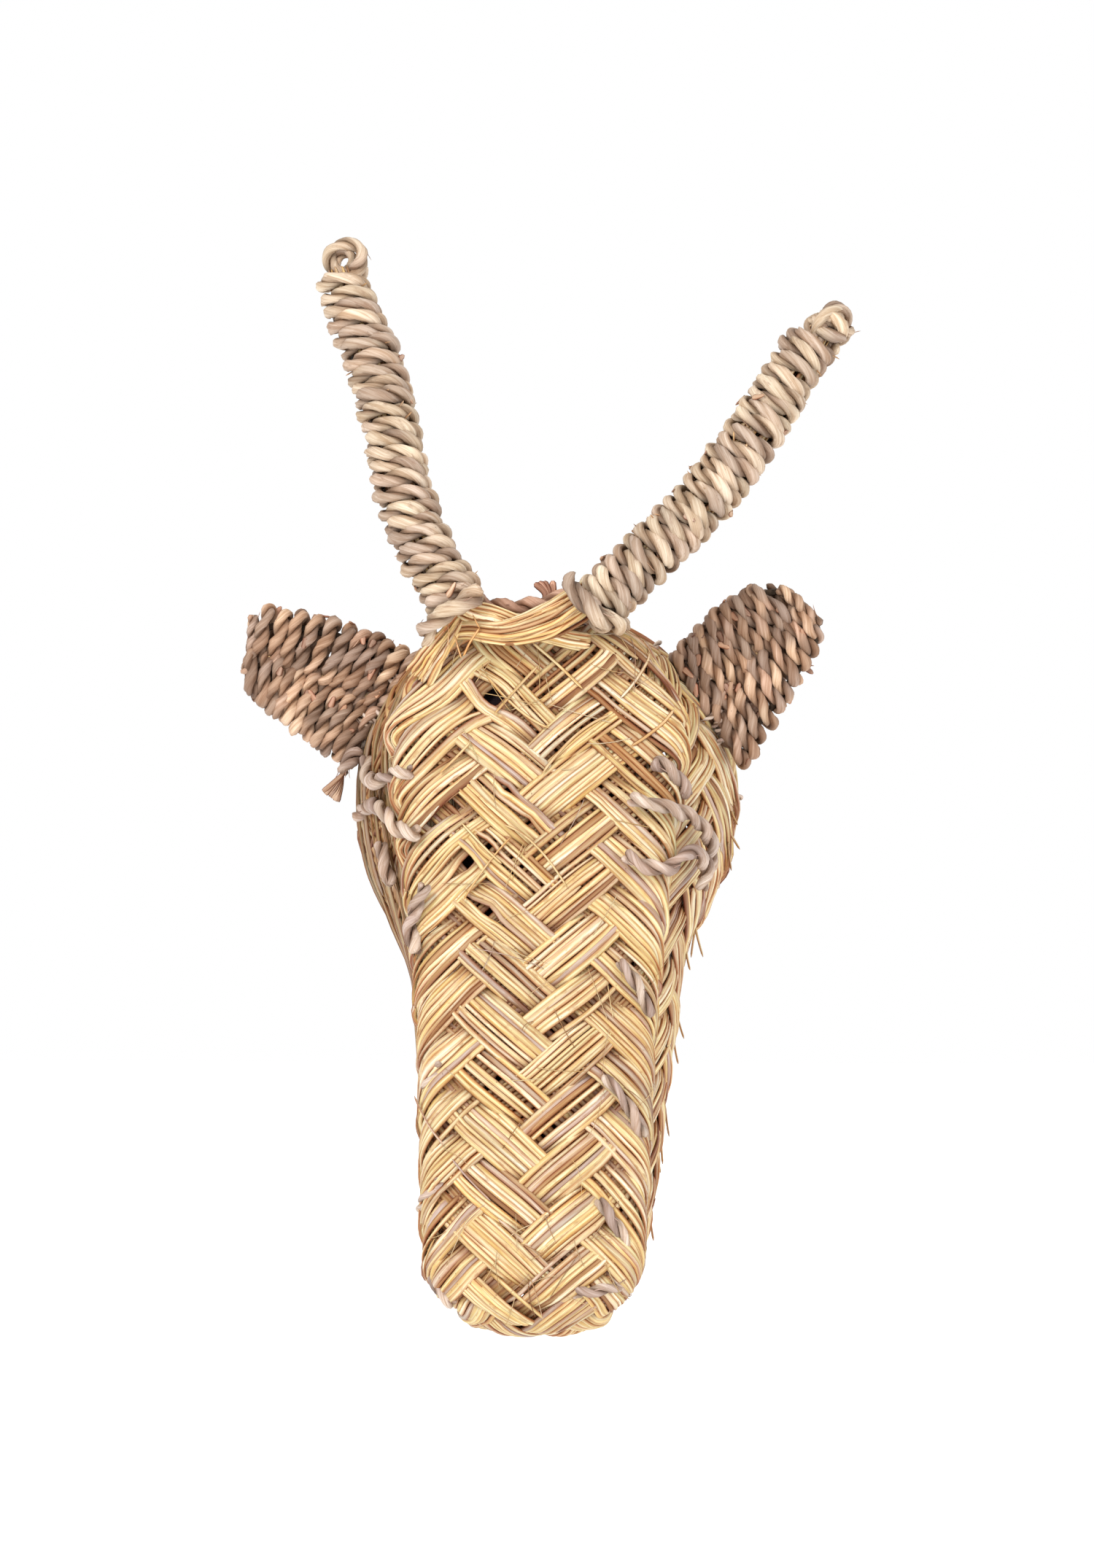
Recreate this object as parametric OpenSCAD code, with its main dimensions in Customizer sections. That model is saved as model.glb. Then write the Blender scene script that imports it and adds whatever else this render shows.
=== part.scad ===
// Wall-hung animal head, hand-plaited from esparto grass, with rope-wrapped horns and ears.
// The frame: +X to the viewer's right, +Y into the wall, +Z up. The wall is the plane Y = 0, and
// the origin is the highest point inside the neck rim, where the rim hangs on a nail.

/* [Plaited head] */
// Thickness of a plaited band
braid_t = 5; // [4:0.5:7]
// Depth of the rounded brow, as the radius of its fold
brow_r = 14; // [10:1:18]
// Radius of the fold at the muzzle's end
muzzle_r = 25; // [20:1:30]
// Radius at which the face band curls round its long edges
curl_r = 10; // [8:1:12]
// How far the middle of the face band stands out
face_crown = 3; // [0:0.5:5]

/* [Neck rim] */
// Radius of the neck rim's centre line
rim_r = 77.5; // [75:0.5:80]
// Thickness of the roll of grass in the neck rim
rim_d = 12; // [10:1:14]
// Width of the rim's flat back, which lies on the wall
rim_flat = 6; // [3:1:8]

/* [Rope] */
// Diameter of the two-ply leaf rope where it is wound tight
rope_d = 5.4; // [5:0.1:5.6]
// Distance between one turn and the next
rope_pitch = 6.5; // [6.4:0.1:7]
// Diameter of the sewing cord that ties the ears and the rim on
tie_d = 2.4; // [2:0.1:2.6]

/* [Horns] */
// Radius of the straw core inside the wrapping
core_r = 7.2; // [6:0.1:7.4]
// Diameter of the stiffening wire
wire_d = 3; // [2:0.5:4]
// Radius of each straw bunch where the two are twisted together over the crown
bunch_r = 3.7; // [3:0.1:4]

/* [Ears] */
// Length of the left ear, from its hinge cord
left_ear_l = 66; // [60:1:68]
// Length of the right ear
right_ear_l = 61; // [56:1:64]
// Half of the ear frame's width at its base
ear_base_w = 22; // [20:1:24]
// Half of the ear frame's width near its tip
ear_tip_w = 12.5; // [11:0.5:15]
// Diameter of the cord that each ear hinges on
hinge_d = 4; // [3.5:0.5:4]

/* [Hidden] */

STRAW = "#E6C493";
STRAW_DARK = "#CDA173";
ROPE = "#CBAE97";
EAR_ROPE = "#A98672";
CORD = "#B5A29A";
WIRE = "#6A6A6E";
DARK_CLOTH = "#2E262B";

GAP = 0.4;            // clearance kept between pieces that aren't sewn through each other
$fn = 48;

// ---- Head outline -------------------------------------------------------------------------
rim_back = sqrt(pow(rim_d / 2, 2) - pow(rim_flat / 2, 2));  // from the rim's centre line to the wall
RIM_C = [0, -rim_back, rim_d / 2 - rim_r];           // centre of the neck rim's circle
BROW_C = [-64, -4.5];                                // [y, z] centre of the brow's fold
MUZZLE_C = [-101, -279.5];                           // [y, z] centre of the muzzle's fold

// Half width of the face band at each height
FACE_W = [[-300, 33], [-290, 42], [-272, 47], [-234, 49.3], [-180, 51], [-140, 54], [-110, 57.5],
          [-80, 61.5], [-55, 65.5], [-38, 66], [-22, 58], [-8, 49], [3, 42], [8, 38]];

// The face band's line, seen from the side, is the common tangent of its two folds
fold_dy = MUZZLE_C.x - BROW_C.x;
fold_dz = MUZZLE_C.y - BROW_C.y;
fold_l = norm([fold_dy, fold_dz]);
face_a = 180 - atan(fold_dy / fold_dz) - asin((muzzle_r - brow_r) / fold_l);
fold_end_a = 332;                                    // the angle at which the muzzle's fold ends

function smooth(pts, i, t) =
    let (n = len(pts) - 1, a = pts[max(i - 1, 0)], b = pts[i], c = pts[min(i + 1, n)],
         d = pts[min(i + 2, n)])
    0.5 * (2 * b + (c - a) * t + (2 * a - 5 * b + 4 * c - d) * t * t
           + (3 * b - a - 3 * c + d) * t * t * t);
// A smooth curve through the points, with n steps between each two
function curve(pts, n) =
    [for (i = [0:len(pts) - 2]) for (k = [0:n - 1]) smooth(pts, i, k / n), pts[len(pts) - 1]];
function unit(v) = v / norm(v);
function on_circle(c, r, a) = [c.x + r * cos(a), c.y + r * sin(a)];
function mix(a, b, t) = a * (1 - t) + b * t;

// ---- Meshes -------------------------------------------------------------------------------
function quad(a, b, c, d) = [[a, b, c], [a, c, d]];
function flat_list(lists) = [for (l = lists) each l];
function backwards(list) = [for (i = [len(list) - 1:-1:0]) list[i]];

// A closed plate from a grid of points on its outer side, t thick
module plate(grid, t) {
    rows = len(grid);
    cols = len(grid[0]);
    function normal(i, j) = unit(cross(
        grid[min(i + 1, rows - 1)][j] - grid[max(i - 1, 0)][j],
        grid[i][min(j + 1, cols - 1)] - grid[i][max(j - 1, 0)]));
    inner = [for (i = [0:rows - 1]) [for (j = [0:cols - 1]) grid[i][j] - t * normal(i, j)]];
    n = rows * cols;
    function at(side, i, j) = side * n + i * cols + j;
    polyhedron(
        concat(flat_list(grid), flat_list(inner)),
        flat_list(concat(
            [for (i = [0:rows - 2]) for (j = [0:cols - 2])
                quad(at(0, i, j), at(0, i, j + 1), at(0, i + 1, j + 1), at(0, i + 1, j))],
            [for (i = [0:rows - 2]) for (j = [0:cols - 2])
                quad(at(1, i, j), at(1, i + 1, j), at(1, i + 1, j + 1), at(1, i, j + 1))],
            [for (i = [0:rows - 2])
                quad(at(0, i, 0), at(0, i + 1, 0), at(1, i + 1, 0), at(1, i, 0))],
            [for (i = [0:rows - 2]) let (j = cols - 1)
                quad(at(0, i, j), at(1, i, j), at(1, i + 1, j), at(0, i + 1, j))],
            [for (j = [0:cols - 2])
                quad(at(0, 0, j), at(1, 0, j), at(1, 0, j + 1), at(0, 0, j + 1))],
            [for (j = [0:cols - 2]) let (i = rows - 1)
                quad(at(0, i, j), at(0, i, j + 1), at(1, i, j + 1), at(1, i, j))])),
        convexity = 8);
}

// Rings of points round a path. The path's side direction starts from up.
function tangent(path, i) = unit(path[min(i + 1, len(path) - 1)] - path[max(i - 1, 0)]);
function rings(path, radii, up, sides) = [
    for (i = [0:len(path) - 1])
        let (d = tangent(path, i), a = unit(cross(up, d)), b = cross(d, a))
        for (k = [0:sides - 1])
            path[i] + radii[i] * (a * cos(360 * k / sides) + b * sin(360 * k / sides))];
function sleeve(i, k, sides, base) =
    let (m = (k + 1) % sides, p = base + i * sides)
    quad(p + k, p + k + sides, p + m + sides, p + m);
function turned(faces) = [for (f = faces) [f[2], f[1], f[0]]];

// A closed solid through n rings of points
module loft(points, n, sides) {
    polyhedron(
        points,
        concat(
            flat_list([for (i = [0:n - 2]) for (k = [0:sides - 1]) sleeve(i, k, sides, 0)]),
            [[for (k = [0:sides - 1]) k]],
            [[for (k = [sides - 1:-1:0]) (n - 1) * sides + k]]),
        convexity = 6);
}

// A solid of round section along a path
module strand(path, r, up = [0, 1, 0], sides = 8) {
    radii = is_list(r) ? r : [for (i = path) r];
    loft(rings(path, radii, up, sides), len(path), sides);
}

// The same, closed on itself
module ring_strand(path, r, up, sides = 8) {
    n = len(path);
    points = [
        for (i = [0:n - 1])
            let (d = unit(path[(i + 1) % n] - path[(i + n - 1) % n]), a = unit(cross(up, d)))
            for (k = [0:sides - 1])
                path[i] + r * (a * cos(360 * k / sides) + up * sin(360 * k / sides))];
    polyhedron(points, flat_list([
        for (i = [0:n - 1]) for (k = [0:sides - 1])
            let (m = (k + 1) % sides, p = i * sides, q = ((i + 1) % n) * sides)
            quad(p + k, q + k, q + m, p + m)]), convexity = 6);
}

// The same with a blind hole from its first end, over the first deep points of the path
module hollow_strand(path, radii, hole_r, deep, up = [0, 1, 0], sides = 12) {
    n = len(path);
    hole = [for (i = [0:deep - 1]) path[i]];
    base = n * sides;
    polyhedron(
        concat(rings(path, radii, up, sides), rings(hole, [for (p = hole) hole_r], up, sides)),
        concat(
            flat_list([for (i = [0:n - 2]) for (k = [0:sides - 1]) sleeve(i, k, sides, 0)]),
            turned(flat_list([for (i = [0:deep - 2]) for (k = [0:sides - 1])
                sleeve(i, k, sides, base)])),
            flat_list([for (k = [0:sides - 1]) let (m = (k + 1) % sides)
                quad(k, m, base + m, base + k)]),
            [[for (k = [0:sides - 1]) base + (deep - 1) * sides + k]],
            [[for (k = [sides - 1:-1:0]) (n - 1) * sides + k]]),
        convexity = 8);
}

// Turns its children's Z axis to the direction d
module aim(d) {
    rotate([0, acos(d.z / norm(d)), atan2(d.y, d.x)]) children();
}

// A turn of rope: a ring about Z
module turn(r, d) {
    rotate_extrude() translate([r, 0]) circle(d = d);
}

// A long turn of rope about Z: its straight sides run along X, and half_l is half of its length
module long_turn(half_l, r, d) {
    for (s = [0, 1]) rotate([0, 0, 180 * s]) {
        translate([half_l, 0, 0]) rotate([0, 0, -90])
            rotate_extrude(angle = 180) translate([r, 0]) circle(d = d);
        translate([-half_l, r, 0]) rotate([0, 90, 0]) cylinder(d = d, h = 2 * half_l);
    }
}

// ---- Plaited bands ------------------------------------------------------------------------
function face_w(z) = lookup(z, FACE_W);
// Across the band: [x, depth] of its outer side, flat in the middle and curled at the edges
CURL_END = 80;
CURL_STEPS = 4;
FACE_STEPS = 4;
function face_section(w) =
    let (flat = w - curl_r,
         half = [
            for (i = [1:FACE_STEPS]) let (u = i / FACE_STEPS) [flat * u, face_crown * u * u],
            for (i = [1:CURL_STEPS]) let (a = CURL_END * i / CURL_STEPS)
                [flat + curl_r * sin(a), face_crown + curl_r * (1 - cos(a))]])
    [for (i = [len(half) - 1:-1:0]) [-half[i].x, half[i].y], [0, 0], each half];

// One row of the face band: its section, set at a point of the side view with its normal
function face_row(p, a) =
    [for (s = face_section(face_w(p.y))) [s.x, p.x - s.y * cos(a), p.y - s.y * sin(a)]];
face_grid = [
    for (i = [0:4]) let (a = mix(90, face_a, i / 4)) face_row(on_circle(BROW_C, brow_r, a), a),
    for (i = [1:19])
        face_row(mix(on_circle(BROW_C, brow_r, face_a), on_circle(MUZZLE_C, muzzle_r, face_a),
                     i / 20), face_a),
    for (i = [0:9])
        let (a = mix(face_a, fold_end_a, i / 9)) face_row(on_circle(MUZZLE_C, muzzle_r, a), a)];

// The face: one wide plaited band from the brow, down the front and under the muzzle's end
module face_braid() {
    color(STRAW) plate(face_grid, braid_t);
}

// The two edges of the right side band: the front one is tucked inside the face band's curl,
// the back one follows the neck rim to the cheek and then the jaw
SIDE_FRONT = [[44, -60, -6], [49, -66, -20], [57, -74, -45], [54, -80, -80], [49, -86, -112],
              [46, -93, -150], [43, -99, -190], [42, -106, -230], [40, -110, -260],
              [36, -106, -280], [28, -101, -292]];
SIDE_BACK = [[46, -14, -10], [61, -14, -27], [74, -14, -54], [76, -14, -82], [71, -14, -106],
             [61, -16, -126], [54, -24, -172], [49, -43, -215], [45, -56, -247],
             [39, -71, -272], [31, -92, -287]];
SIDE_BULGE = 4;
SIDE_STEPS = 6;
side_front = curve(SIDE_FRONT, 2);
side_back = curve(SIDE_BACK, 2);
side_grid = [
    for (i = [0:len(side_front) - 1]) [
        for (j = [0:SIDE_STEPS]) let (u = j / SIDE_STEPS)
            mix(side_front[i], side_back[i], u) + [SIDE_BULGE * 4 * u * (1 - u), 0, 0]]];

module right_side_braid() {
    color(STRAW_DARK) plate(side_grid, braid_t);
}
module left_side_braid() {
    color(STRAW_DARK) mirror([1, 0, 0]) plate(side_grid, braid_t);
}

// The jaw: a band from the rim's lowest arc down to the muzzle's fold, closing the head below
THROAT = [-rim_d - 1, -148];                         // [y, z] where it leaves the rim
JAW_END = [-72, -287];                               // [y, z] where it meets the muzzle
THROAT_W = 48;                                       // its half width at the rim
JAW_END_W = 30;                                      // its half width at the muzzle
THROAT_RISE = 18;                                    // how far its corners follow the rim up
JAW_SAG = 4;                                         // how far its edges curl forward
JAW_ROWS = 10;
JAW_COLS = 8;
module jaw_braid() {
    grid = [for (i = [0:JAW_ROWS]) let (s = i / JAW_ROWS) [
        for (j = [0:JAW_COLS]) let (u = 2 * j / JAW_COLS - 1)
            [mix(THROAT_W, JAW_END_W, s) * u,
             mix(THROAT.x, JAW_END.x, s) - JAW_SAG * sin(180 * s) * u * u,
             mix(THROAT.y, JAW_END.y, s) + mix(THROAT_RISE, 0, s) * u * u]]];
    color(STRAW_DARK) plate(backwards(grid), braid_t);
}

// The crown: a short band across the top, from the brow back to the neck rim
CROWN_W = 40;                                        // its half width
CROWN_BROW = [8, 8];                                 // height of its middle, and fall of its edges
CROWN_RIM = [8.5, 11];                               // the same at the rim
CROWN_ROWS = 5;
CROWN_COLS = 8;
module crown_braid() {
    grid = [for (i = [0:CROWN_ROWS]) let (s = i / CROWN_ROWS, top = mix(CROWN_BROW, CROWN_RIM, s)) [
        for (j = [0:CROWN_COLS]) let (u = 2 * j / CROWN_COLS - 1)
            [CROWN_W * u, mix(BROW_C.x + 1 + GAP, RIM_C.y - rim_d / 2 - GAP, s),
             top.x - top.y * u * u]]];
    color(STRAW_DARK) plate(backwards(grid), braid_t);
}

// The rim: a roll of grass round the neck's opening, with a flat back against the wall
module neck_rim() {
    color(STRAW) translate(RIM_C) rotate([90, 0, 0]) rotate_extrude($fn = 96)
        translate([rim_r, 0]) intersection() {
            circle(d = rim_d);
            translate([-rim_d, -rim_back]) square([2 * rim_d, 2 * rim_d]);
        }
}

// The stuffing: a dark cloth bag that fills the head and keeps its shape, seen through the gaps.
// Each ring is [z, front y, back y, half width].
BAG = [[-9, -58, -30, 22], [-14, -68, -24, 36], [-30, -76, -21, 46], [-60, -81, -20, 51],
       [-95, -86, -20, 50], [-125, -92, -23, 46], [-160, -98, -30, 40], [-200, -105, -45, 35],
       [-240, -111, -62, 32], [-268, -115, -76, 28], [-283, -114, -88, 20]];
BAG_SIDES = 24;
module stuffing() {
    line = curve(BAG, 2);
    color(DARK_CLOTH) loft([
        for (ring = line) for (k = [0:BAG_SIDES - 1])
            let (a = -360 * k / BAG_SIDES)
            [ring[3] * cos(a), mix(ring[1], ring[2], (1 + sin(a)) / 2), ring[0]]],
        len(line), BAG_SIDES);
}

// ---- Horns --------------------------------------------------------------------------------
// Centre lines from the tip down to the base
LEFT_HORN = [[-89, -57, 158], [-83, -61, 140], [-72, -67, 114], [-65, -73, 88], [-60, -78, 62],
             [-50, -82, 37], [-39, -84, 19]];
RIGHT_HORN = [[120, -58, 130], [108, -64, 112], [92, -70, 86], [74, -75, 61], [52, -80, 38],
              [33, -84, 20]];
// Where the straw crosses the crown, from the left horn's base to the right one's
CROWN_LINE = [[-29, -86.5, 8], [-15, -87.5, 4.5], [0, -88, 3.5], [14, -87.5, 5], [24, -86.5, 9]];
TWIST = 300;                                         // how far the two bunches twist, in degrees
BUNCH_OFF = bunch_r + 0.6;                           // how far each bunch lies off the common line

function twisted(phase) =
    let (line = curve(CROWN_LINE, 4), n = len(line) - 1)
    [for (i = [0:n]) let (a = phase + TWIST * i / n)
        line[i] + BUNCH_OFF * [0, cos(a), sin(a)]];
left_line = curve(LEFT_HORN, 5);
right_line = curve(RIGHT_HORN, 5);
LEFT_PHASE = 210;                                    // puts the left bunch in front at its horn
left_tail = twisted(LEFT_PHASE);
right_tail = backwards(twisted(LEFT_PHASE + 180));

function core_radii(line, tail) = [
    for (i = line) core_r,
    for (i = [0:len(tail) - 1]) bunch_r];

// The core: a bunch of straw that fills the horn, narrows and crosses the crown
module horn_core(line, tail) {
    color(STRAW) hollow_strand(concat(line, tail), core_radii(line, tail),
                               wire_d / 2 + 0.2, len(line) - 3);
}
module left_horn_core() { horn_core(left_line, left_tail); }
module right_horn_core() { horn_core(right_line, right_tail); }

// The wire that keeps the horn's bend, inside the core
module horn_wire(line) {
    color(WIRE) strand([for (i = [0:len(line) - 5]) line[i]], wire_d / 2, sides = 12);
}
module left_horn_wire() { horn_wire(left_line); }
module right_horn_wire() { horn_wire(right_line); }

// Length along a path up to each of its points
function lengths(path, i = 0, sum = 0) =
    i >= len(path) ? []
    : let (s = i == 0 ? 0 : sum + norm(path[i] - path[i - 1])) concat([s], lengths(path, i + 1, s));
function walk(path, marks, s, i = 0) =
    i >= len(path) - 2 || marks[i + 1] >= s
        ? mix(path[i], path[i + 1], (s - marks[i]) / (marks[i + 1] - marks[i]))
        : walk(path, marks, s, i + 1);

// The wrapping: turns of rope, one after another along the horn
module horn_wrap(line) {
    marks = lengths(line);
    count = floor((marks[len(marks) - 1] - rope_d) / rope_pitch);
    color(ROPE) for (i = [0:count]) {
        s = rope_d / 2 + i * rope_pitch;
        here = walk(line, marks, s);
        ahead = walk(line, marks, s + rope_pitch / 2) - walk(line, marks, s - rope_pitch / 2);
        translate(here) aim(ahead) turn(core_r + GAP / 2 + rope_d / 2, rope_d);
    }
}
module left_horn_wrap() { horn_wrap(left_line); }
module right_horn_wrap() { horn_wrap(right_line); }

// The left horn ends in a loop of the same rope, standing on its tip
LOOP_R = 5.2;
module left_horn_loop() {
    tip = LEFT_HORN[0];
    away = unit(tip - LEFT_HORN[1]);
    color(ROPE) translate(tip + away * (LOOP_R + rope_d / 2 + GAP))
        rotate([90, 0, 0]) turn(LOOP_R, rope_d);
}

// The right horn ends in a knot: the rope wound into a ball
KNOT_R = 7;
module right_horn_knot() {
    tip = RIGHT_HORN[0];
    away = unit(tip - RIGHT_HORN[1]);
    color(ROPE) translate(tip + away * (KNOT_R + rope_d / 2 + GAP)) aim(away)
        rotate_extrude() intersection() {
            union() {
                circle(r = KNOT_R);
                for (a = [-45, 0, 45]) rotate(a) translate([KNOT_R, 0]) circle(d = rope_d);
            }
            translate([0, -2 * KNOT_R]) square([2 * KNOT_R, 4 * KNOT_R]);
        }
}

// Rope laid over each horn's foot and sewn into the brow
LEFT_LASHING = [[-31, -93, 24], [-39, -97, 17], [-46, -95, 9], [-48, -86, 2], [-46, -76, -4],
                [-42, -69, -8]];
RIGHT_LASHING = [[22, -93, 24], [31, -97, 17], [38, -96, 9], [41, -87, 1], [41, -77, -5],
                 [38, -70, -9]];
module lashing(points) {
    color(ROPE) strand(curve(points, 2), rope_d / 2, up = [1, 0, 0]);
}
module left_horn_lashing() { lashing(LEFT_LASHING); }
module right_horn_lashing() { lashing(RIGHT_LASHING); }

// The rope that ties the two horns together behind the crown
HORN_TIE = [[-26, -72, 19], [-18, -75, 16.5], [-8, -76, 15], [2, -76, 15], [11, -75, 16.5],
            [18, -72, 19]];
module horn_tie() {
    color(CORD) strand(curve(HORN_TIE, 3), rope_d / 2);
}

// ---- Ears ---------------------------------------------------------------------------------
// Each ear hinges on a cord along its base. The cord's middle, its direction down and outwards,
// and the angle at which the ear stands from it, above the perpendicular
HINGE_MID = [71.5, -28, -30];
HINGE_A = -59.5;                                     // the cord's slope, in degrees from level
HINGE_L = 46;
LEFT_EAR_A = -9;
RIGHT_EAR_A = 16;
EAR_START = 6.6;                                     // from the hinge cord to the frame's base
EAR_CORNER = ear_base_w - 2;                         // half of the base's length
EAR_TIP_ROUND = 5;
TIE_AT = [-12.6, -9.6, 9.6, 12.6];                   // where the ties lie along the hinge cord
ear_gap = wire_d / 2 + 0.3;                          // half of the space inside the ear's turns
ear_turn_r = ear_gap + rope_d / 2;

// Places its children at the right ear: X runs from the hinge to the tip, Y along the hinge
module at_right_ear(lean) {
    translate(HINGE_MID) rotate([0, -(90 + HINGE_A), 0]) rotate([0, -lean, 0])
        rotate([90, 0, 0]) children();
}
module at_left_ear(lean) { mirror([1, 0, 0]) at_right_ear(lean) children(); }

function ear_half(x, l) = mix(ear_base_w, ear_tip_w, pow(x / l, 2));

// Where a line parallel to the hinge cord, at the distance h, lies on an ear that leans
function along_hinge(h, y, lean) = (h + y * sin(lean)) / cos(lean);

// The frame: a closed loop of wire that gives the ear its outline
module ear_frame(l, lean) {
    end = l - rope_d / 2;
    function side(s) = concat(
        [for (y = [EAR_CORNER / 2, EAR_CORNER]) [along_hinge(EAR_START, s * y, lean), s * y, 0]],
        [for (i = [0:8])
            let (x = mix(along_hinge(EAR_START, s * EAR_CORNER, lean) + 2, end - EAR_TIP_ROUND, i / 8))
            [x, s * ear_half(x, l), 0]],
        [[end - 1.5, s * (ear_half(end, l) - 1.5), 0],
         [end, s * (ear_half(end, l) - EAR_TIP_ROUND), 0]]);
    color(WIRE) ring_strand(concat(side(1), backwards(side(-1))), wire_d / 2, up = [0, 0, 1]);
}
// The rib: a straight stick of cane down the middle, inside the frame
module ear_rib(l) {
    color(STRAW) translate([EAR_START + wire_d, 0, 0]) rotate([0, 90, 0])
        cylinder(d = wire_d - GAP, h = l - EAR_START - 3 * wire_d - rope_d / 2);
}
// The wrapping: long turns of rope across the frame
module ear_wrap(l, lean) {
    ties_end = along_hinge(EAR_START + wire_d / 2 + tie_d + GAP, max(TIE_AT) + tie_d / 2, abs(lean));
    first = ties_end + rope_d / 2 + GAP;
    count = floor((l - first) / rope_pitch);
    color(EAR_ROPE) for (i = [0:count]) {
        x = first + i * rope_pitch;
        translate([x, 0, 0]) rotate([0, 90, 0]) rotate([0, 0, 90])
            long_turn(ear_half(x, l), ear_turn_r, rope_d);
    }
}
// The ties: cord loops round both the hinge cord and the frame's base
module ear_ties() {
    inner = hinge_d / 2 + GAP / 2;
    reach = (EAR_START + wire_d / 2 - hinge_d / 2) / 2;
    color(CORD) for (y = TIE_AT) translate([reach, y, 0]) rotate([90, 0, 0])
        long_turn(reach, inner + tie_d / 2, tie_d);
}
module left_ear_frame() { at_left_ear(LEFT_EAR_A) ear_frame(left_ear_l, LEFT_EAR_A); }
module right_ear_frame() { at_right_ear(RIGHT_EAR_A) ear_frame(right_ear_l, RIGHT_EAR_A); }
module left_ear_rib() { at_left_ear(LEFT_EAR_A) ear_rib(left_ear_l); }
module right_ear_rib() { at_right_ear(RIGHT_EAR_A) ear_rib(right_ear_l); }
module left_ear_wrap() { at_left_ear(LEFT_EAR_A) ear_wrap(left_ear_l, LEFT_EAR_A); }
module right_ear_wrap() { at_right_ear(RIGHT_EAR_A) ear_wrap(right_ear_l, RIGHT_EAR_A); }
module left_ear_ties() { at_left_ear(0) ear_ties(); }
module right_ear_ties() { at_right_ear(0) ear_ties(); }

// The hinge cord, along the ear's base
module hinge_cord() {
    color(CORD) translate([0, HINGE_L / 2, 0]) rotate([90, 0, 0]) cylinder(d = hinge_d, h = HINGE_L);
}
module left_ear_hinge_cord() { at_left_ear(0) hinge_cord(); }
module right_ear_hinge_cord() { at_right_ear(0) hinge_cord(); }

// The anchors: loops that sew the hinge cord to the side band
ANCHOR_AT = [-17, -5.5, 5.5, 17];
ANCHOR_L = 6;
module ear_anchors() {
    color(CORD) for (y = ANCHOR_AT) translate([-ANCHOR_L, y, 0]) rotate([90, 0, 0])
        long_turn(ANCHOR_L, hinge_d / 2 + GAP / 2 + tie_d / 2, tie_d);
}
module left_ear_anchors() { at_left_ear(0) ear_anchors(); }
module right_ear_anchors() { at_right_ear(0) ear_anchors(); }

// ---- Sewn cords ---------------------------------------------------------------------------
module sewn(routes) {
    color(CORD) for (route = routes) strand(curve(route, 2), rope_d / 2, up = [0, 0.3, 1]);
}
// The ropes that draw the eyes on the cheeks
module right_eye_cord() {
    sewn([
        [[40, -92, -72], [50, -95, -74], [60, -89, -77], [69, -76, -82], [74, -62, -92],
         [73, -56, -104]],
        [[38, -97, -96], [47, -97, -101], [57, -91, -102], [66, -80, -95], [72, -66, -101],
         [70, -62, -112]],
        [[50, -84, -55], [60, -82, -62], [65, -76, -71]]]);
}
module left_eye_cord() {
    sewn([
        [[-55, -84, -60], [-66, -76, -62], [-74, -62, -65]],
        [[-51, -92, -87], [-61, -86, -85], [-68, -76, -77]],
        [[-70, -68, -91], [-69, -70, -99], [-65, -72, -110]],
        [[-48, -98, -109], [-52, -95, -118], [-55, -92, -128], [-52, -95, -139]]]);
}
// Stitches along the seam between the face band and each side band
module right_seam_stitches() {
    sewn([
        [[36, -101, -142], [44, -103, -152], [50, -100, -166]],
        [[30, -108, -191], [40, -110, -203], [47, -107, -218]],
        [[28, -116, -244], [36, -118, -255], [42, -114, -266]]]);
}
module left_seam_stitches() {
    mirror([1, 0, 0]) sewn([
        [[40, -104, -186], [48, -100, -198], [50, -90, -204]],
        [[40, -113, -236], [48, -108, -246], [49, -98, -250]]]);
}
// The cord that closes the muzzle's corners
module muzzle_stitches() {
    sewn([
        [[17, -119, -284], [28, -122, -283], [40, -116, -280], [44, -106, -272]],
        [[-44, -106, -274], [-42, -115, -282], [-34, -117, -290]]]);
}
// Loops that bind the side bands to the neck rim
RIM_STITCH_A = [35, 62, 90, 118, 148, 212, 242, 270, 298, 325];
module rim_stitches() {
    color(CORD) translate(RIM_C) for (a = RIM_STITCH_A)
        rotate([0, a, 0]) translate([0, 0, rim_r]) rotate([180, -90, 0])
            rotate_extrude(angle = 180) translate([rim_d / 2 + 0.3 + tie_d / 2, 0]) circle(d = tie_d);
}
// The cord's end, left hanging free below the left ear
module loose_cord_end() {
    sewn([[[-84, -34, -53], [-92, -36, -55], [-98, -38, -60], [-102, -39, -67]]]);
}

// ---- Drawing ------------------------------------------------------------------------------
face_braid();
left_side_braid();
right_side_braid();
jaw_braid();
crown_braid();
neck_rim();
stuffing();
left_horn_core();
right_horn_core();
left_horn_wire();
right_horn_wire();
left_horn_wrap();
right_horn_wrap();
left_horn_loop();
right_horn_knot();
left_horn_lashing();
right_horn_lashing();
horn_tie();
left_ear_frame();
right_ear_frame();
left_ear_rib();
right_ear_rib();
left_ear_wrap();
right_ear_wrap();
left_ear_ties();
right_ear_ties();
left_ear_hinge_cord();
right_ear_hinge_cord();
left_ear_anchors();
right_ear_anchors();
left_eye_cord();
right_eye_cord();
left_seam_stitches();
right_seam_stitches();
muzzle_stitches();
rim_stitches();
loose_cord_end();
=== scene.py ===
"""Looks for the woven grass animal head: plaited blades, two-ply leaf rope, studio and camera."""
import math

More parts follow.
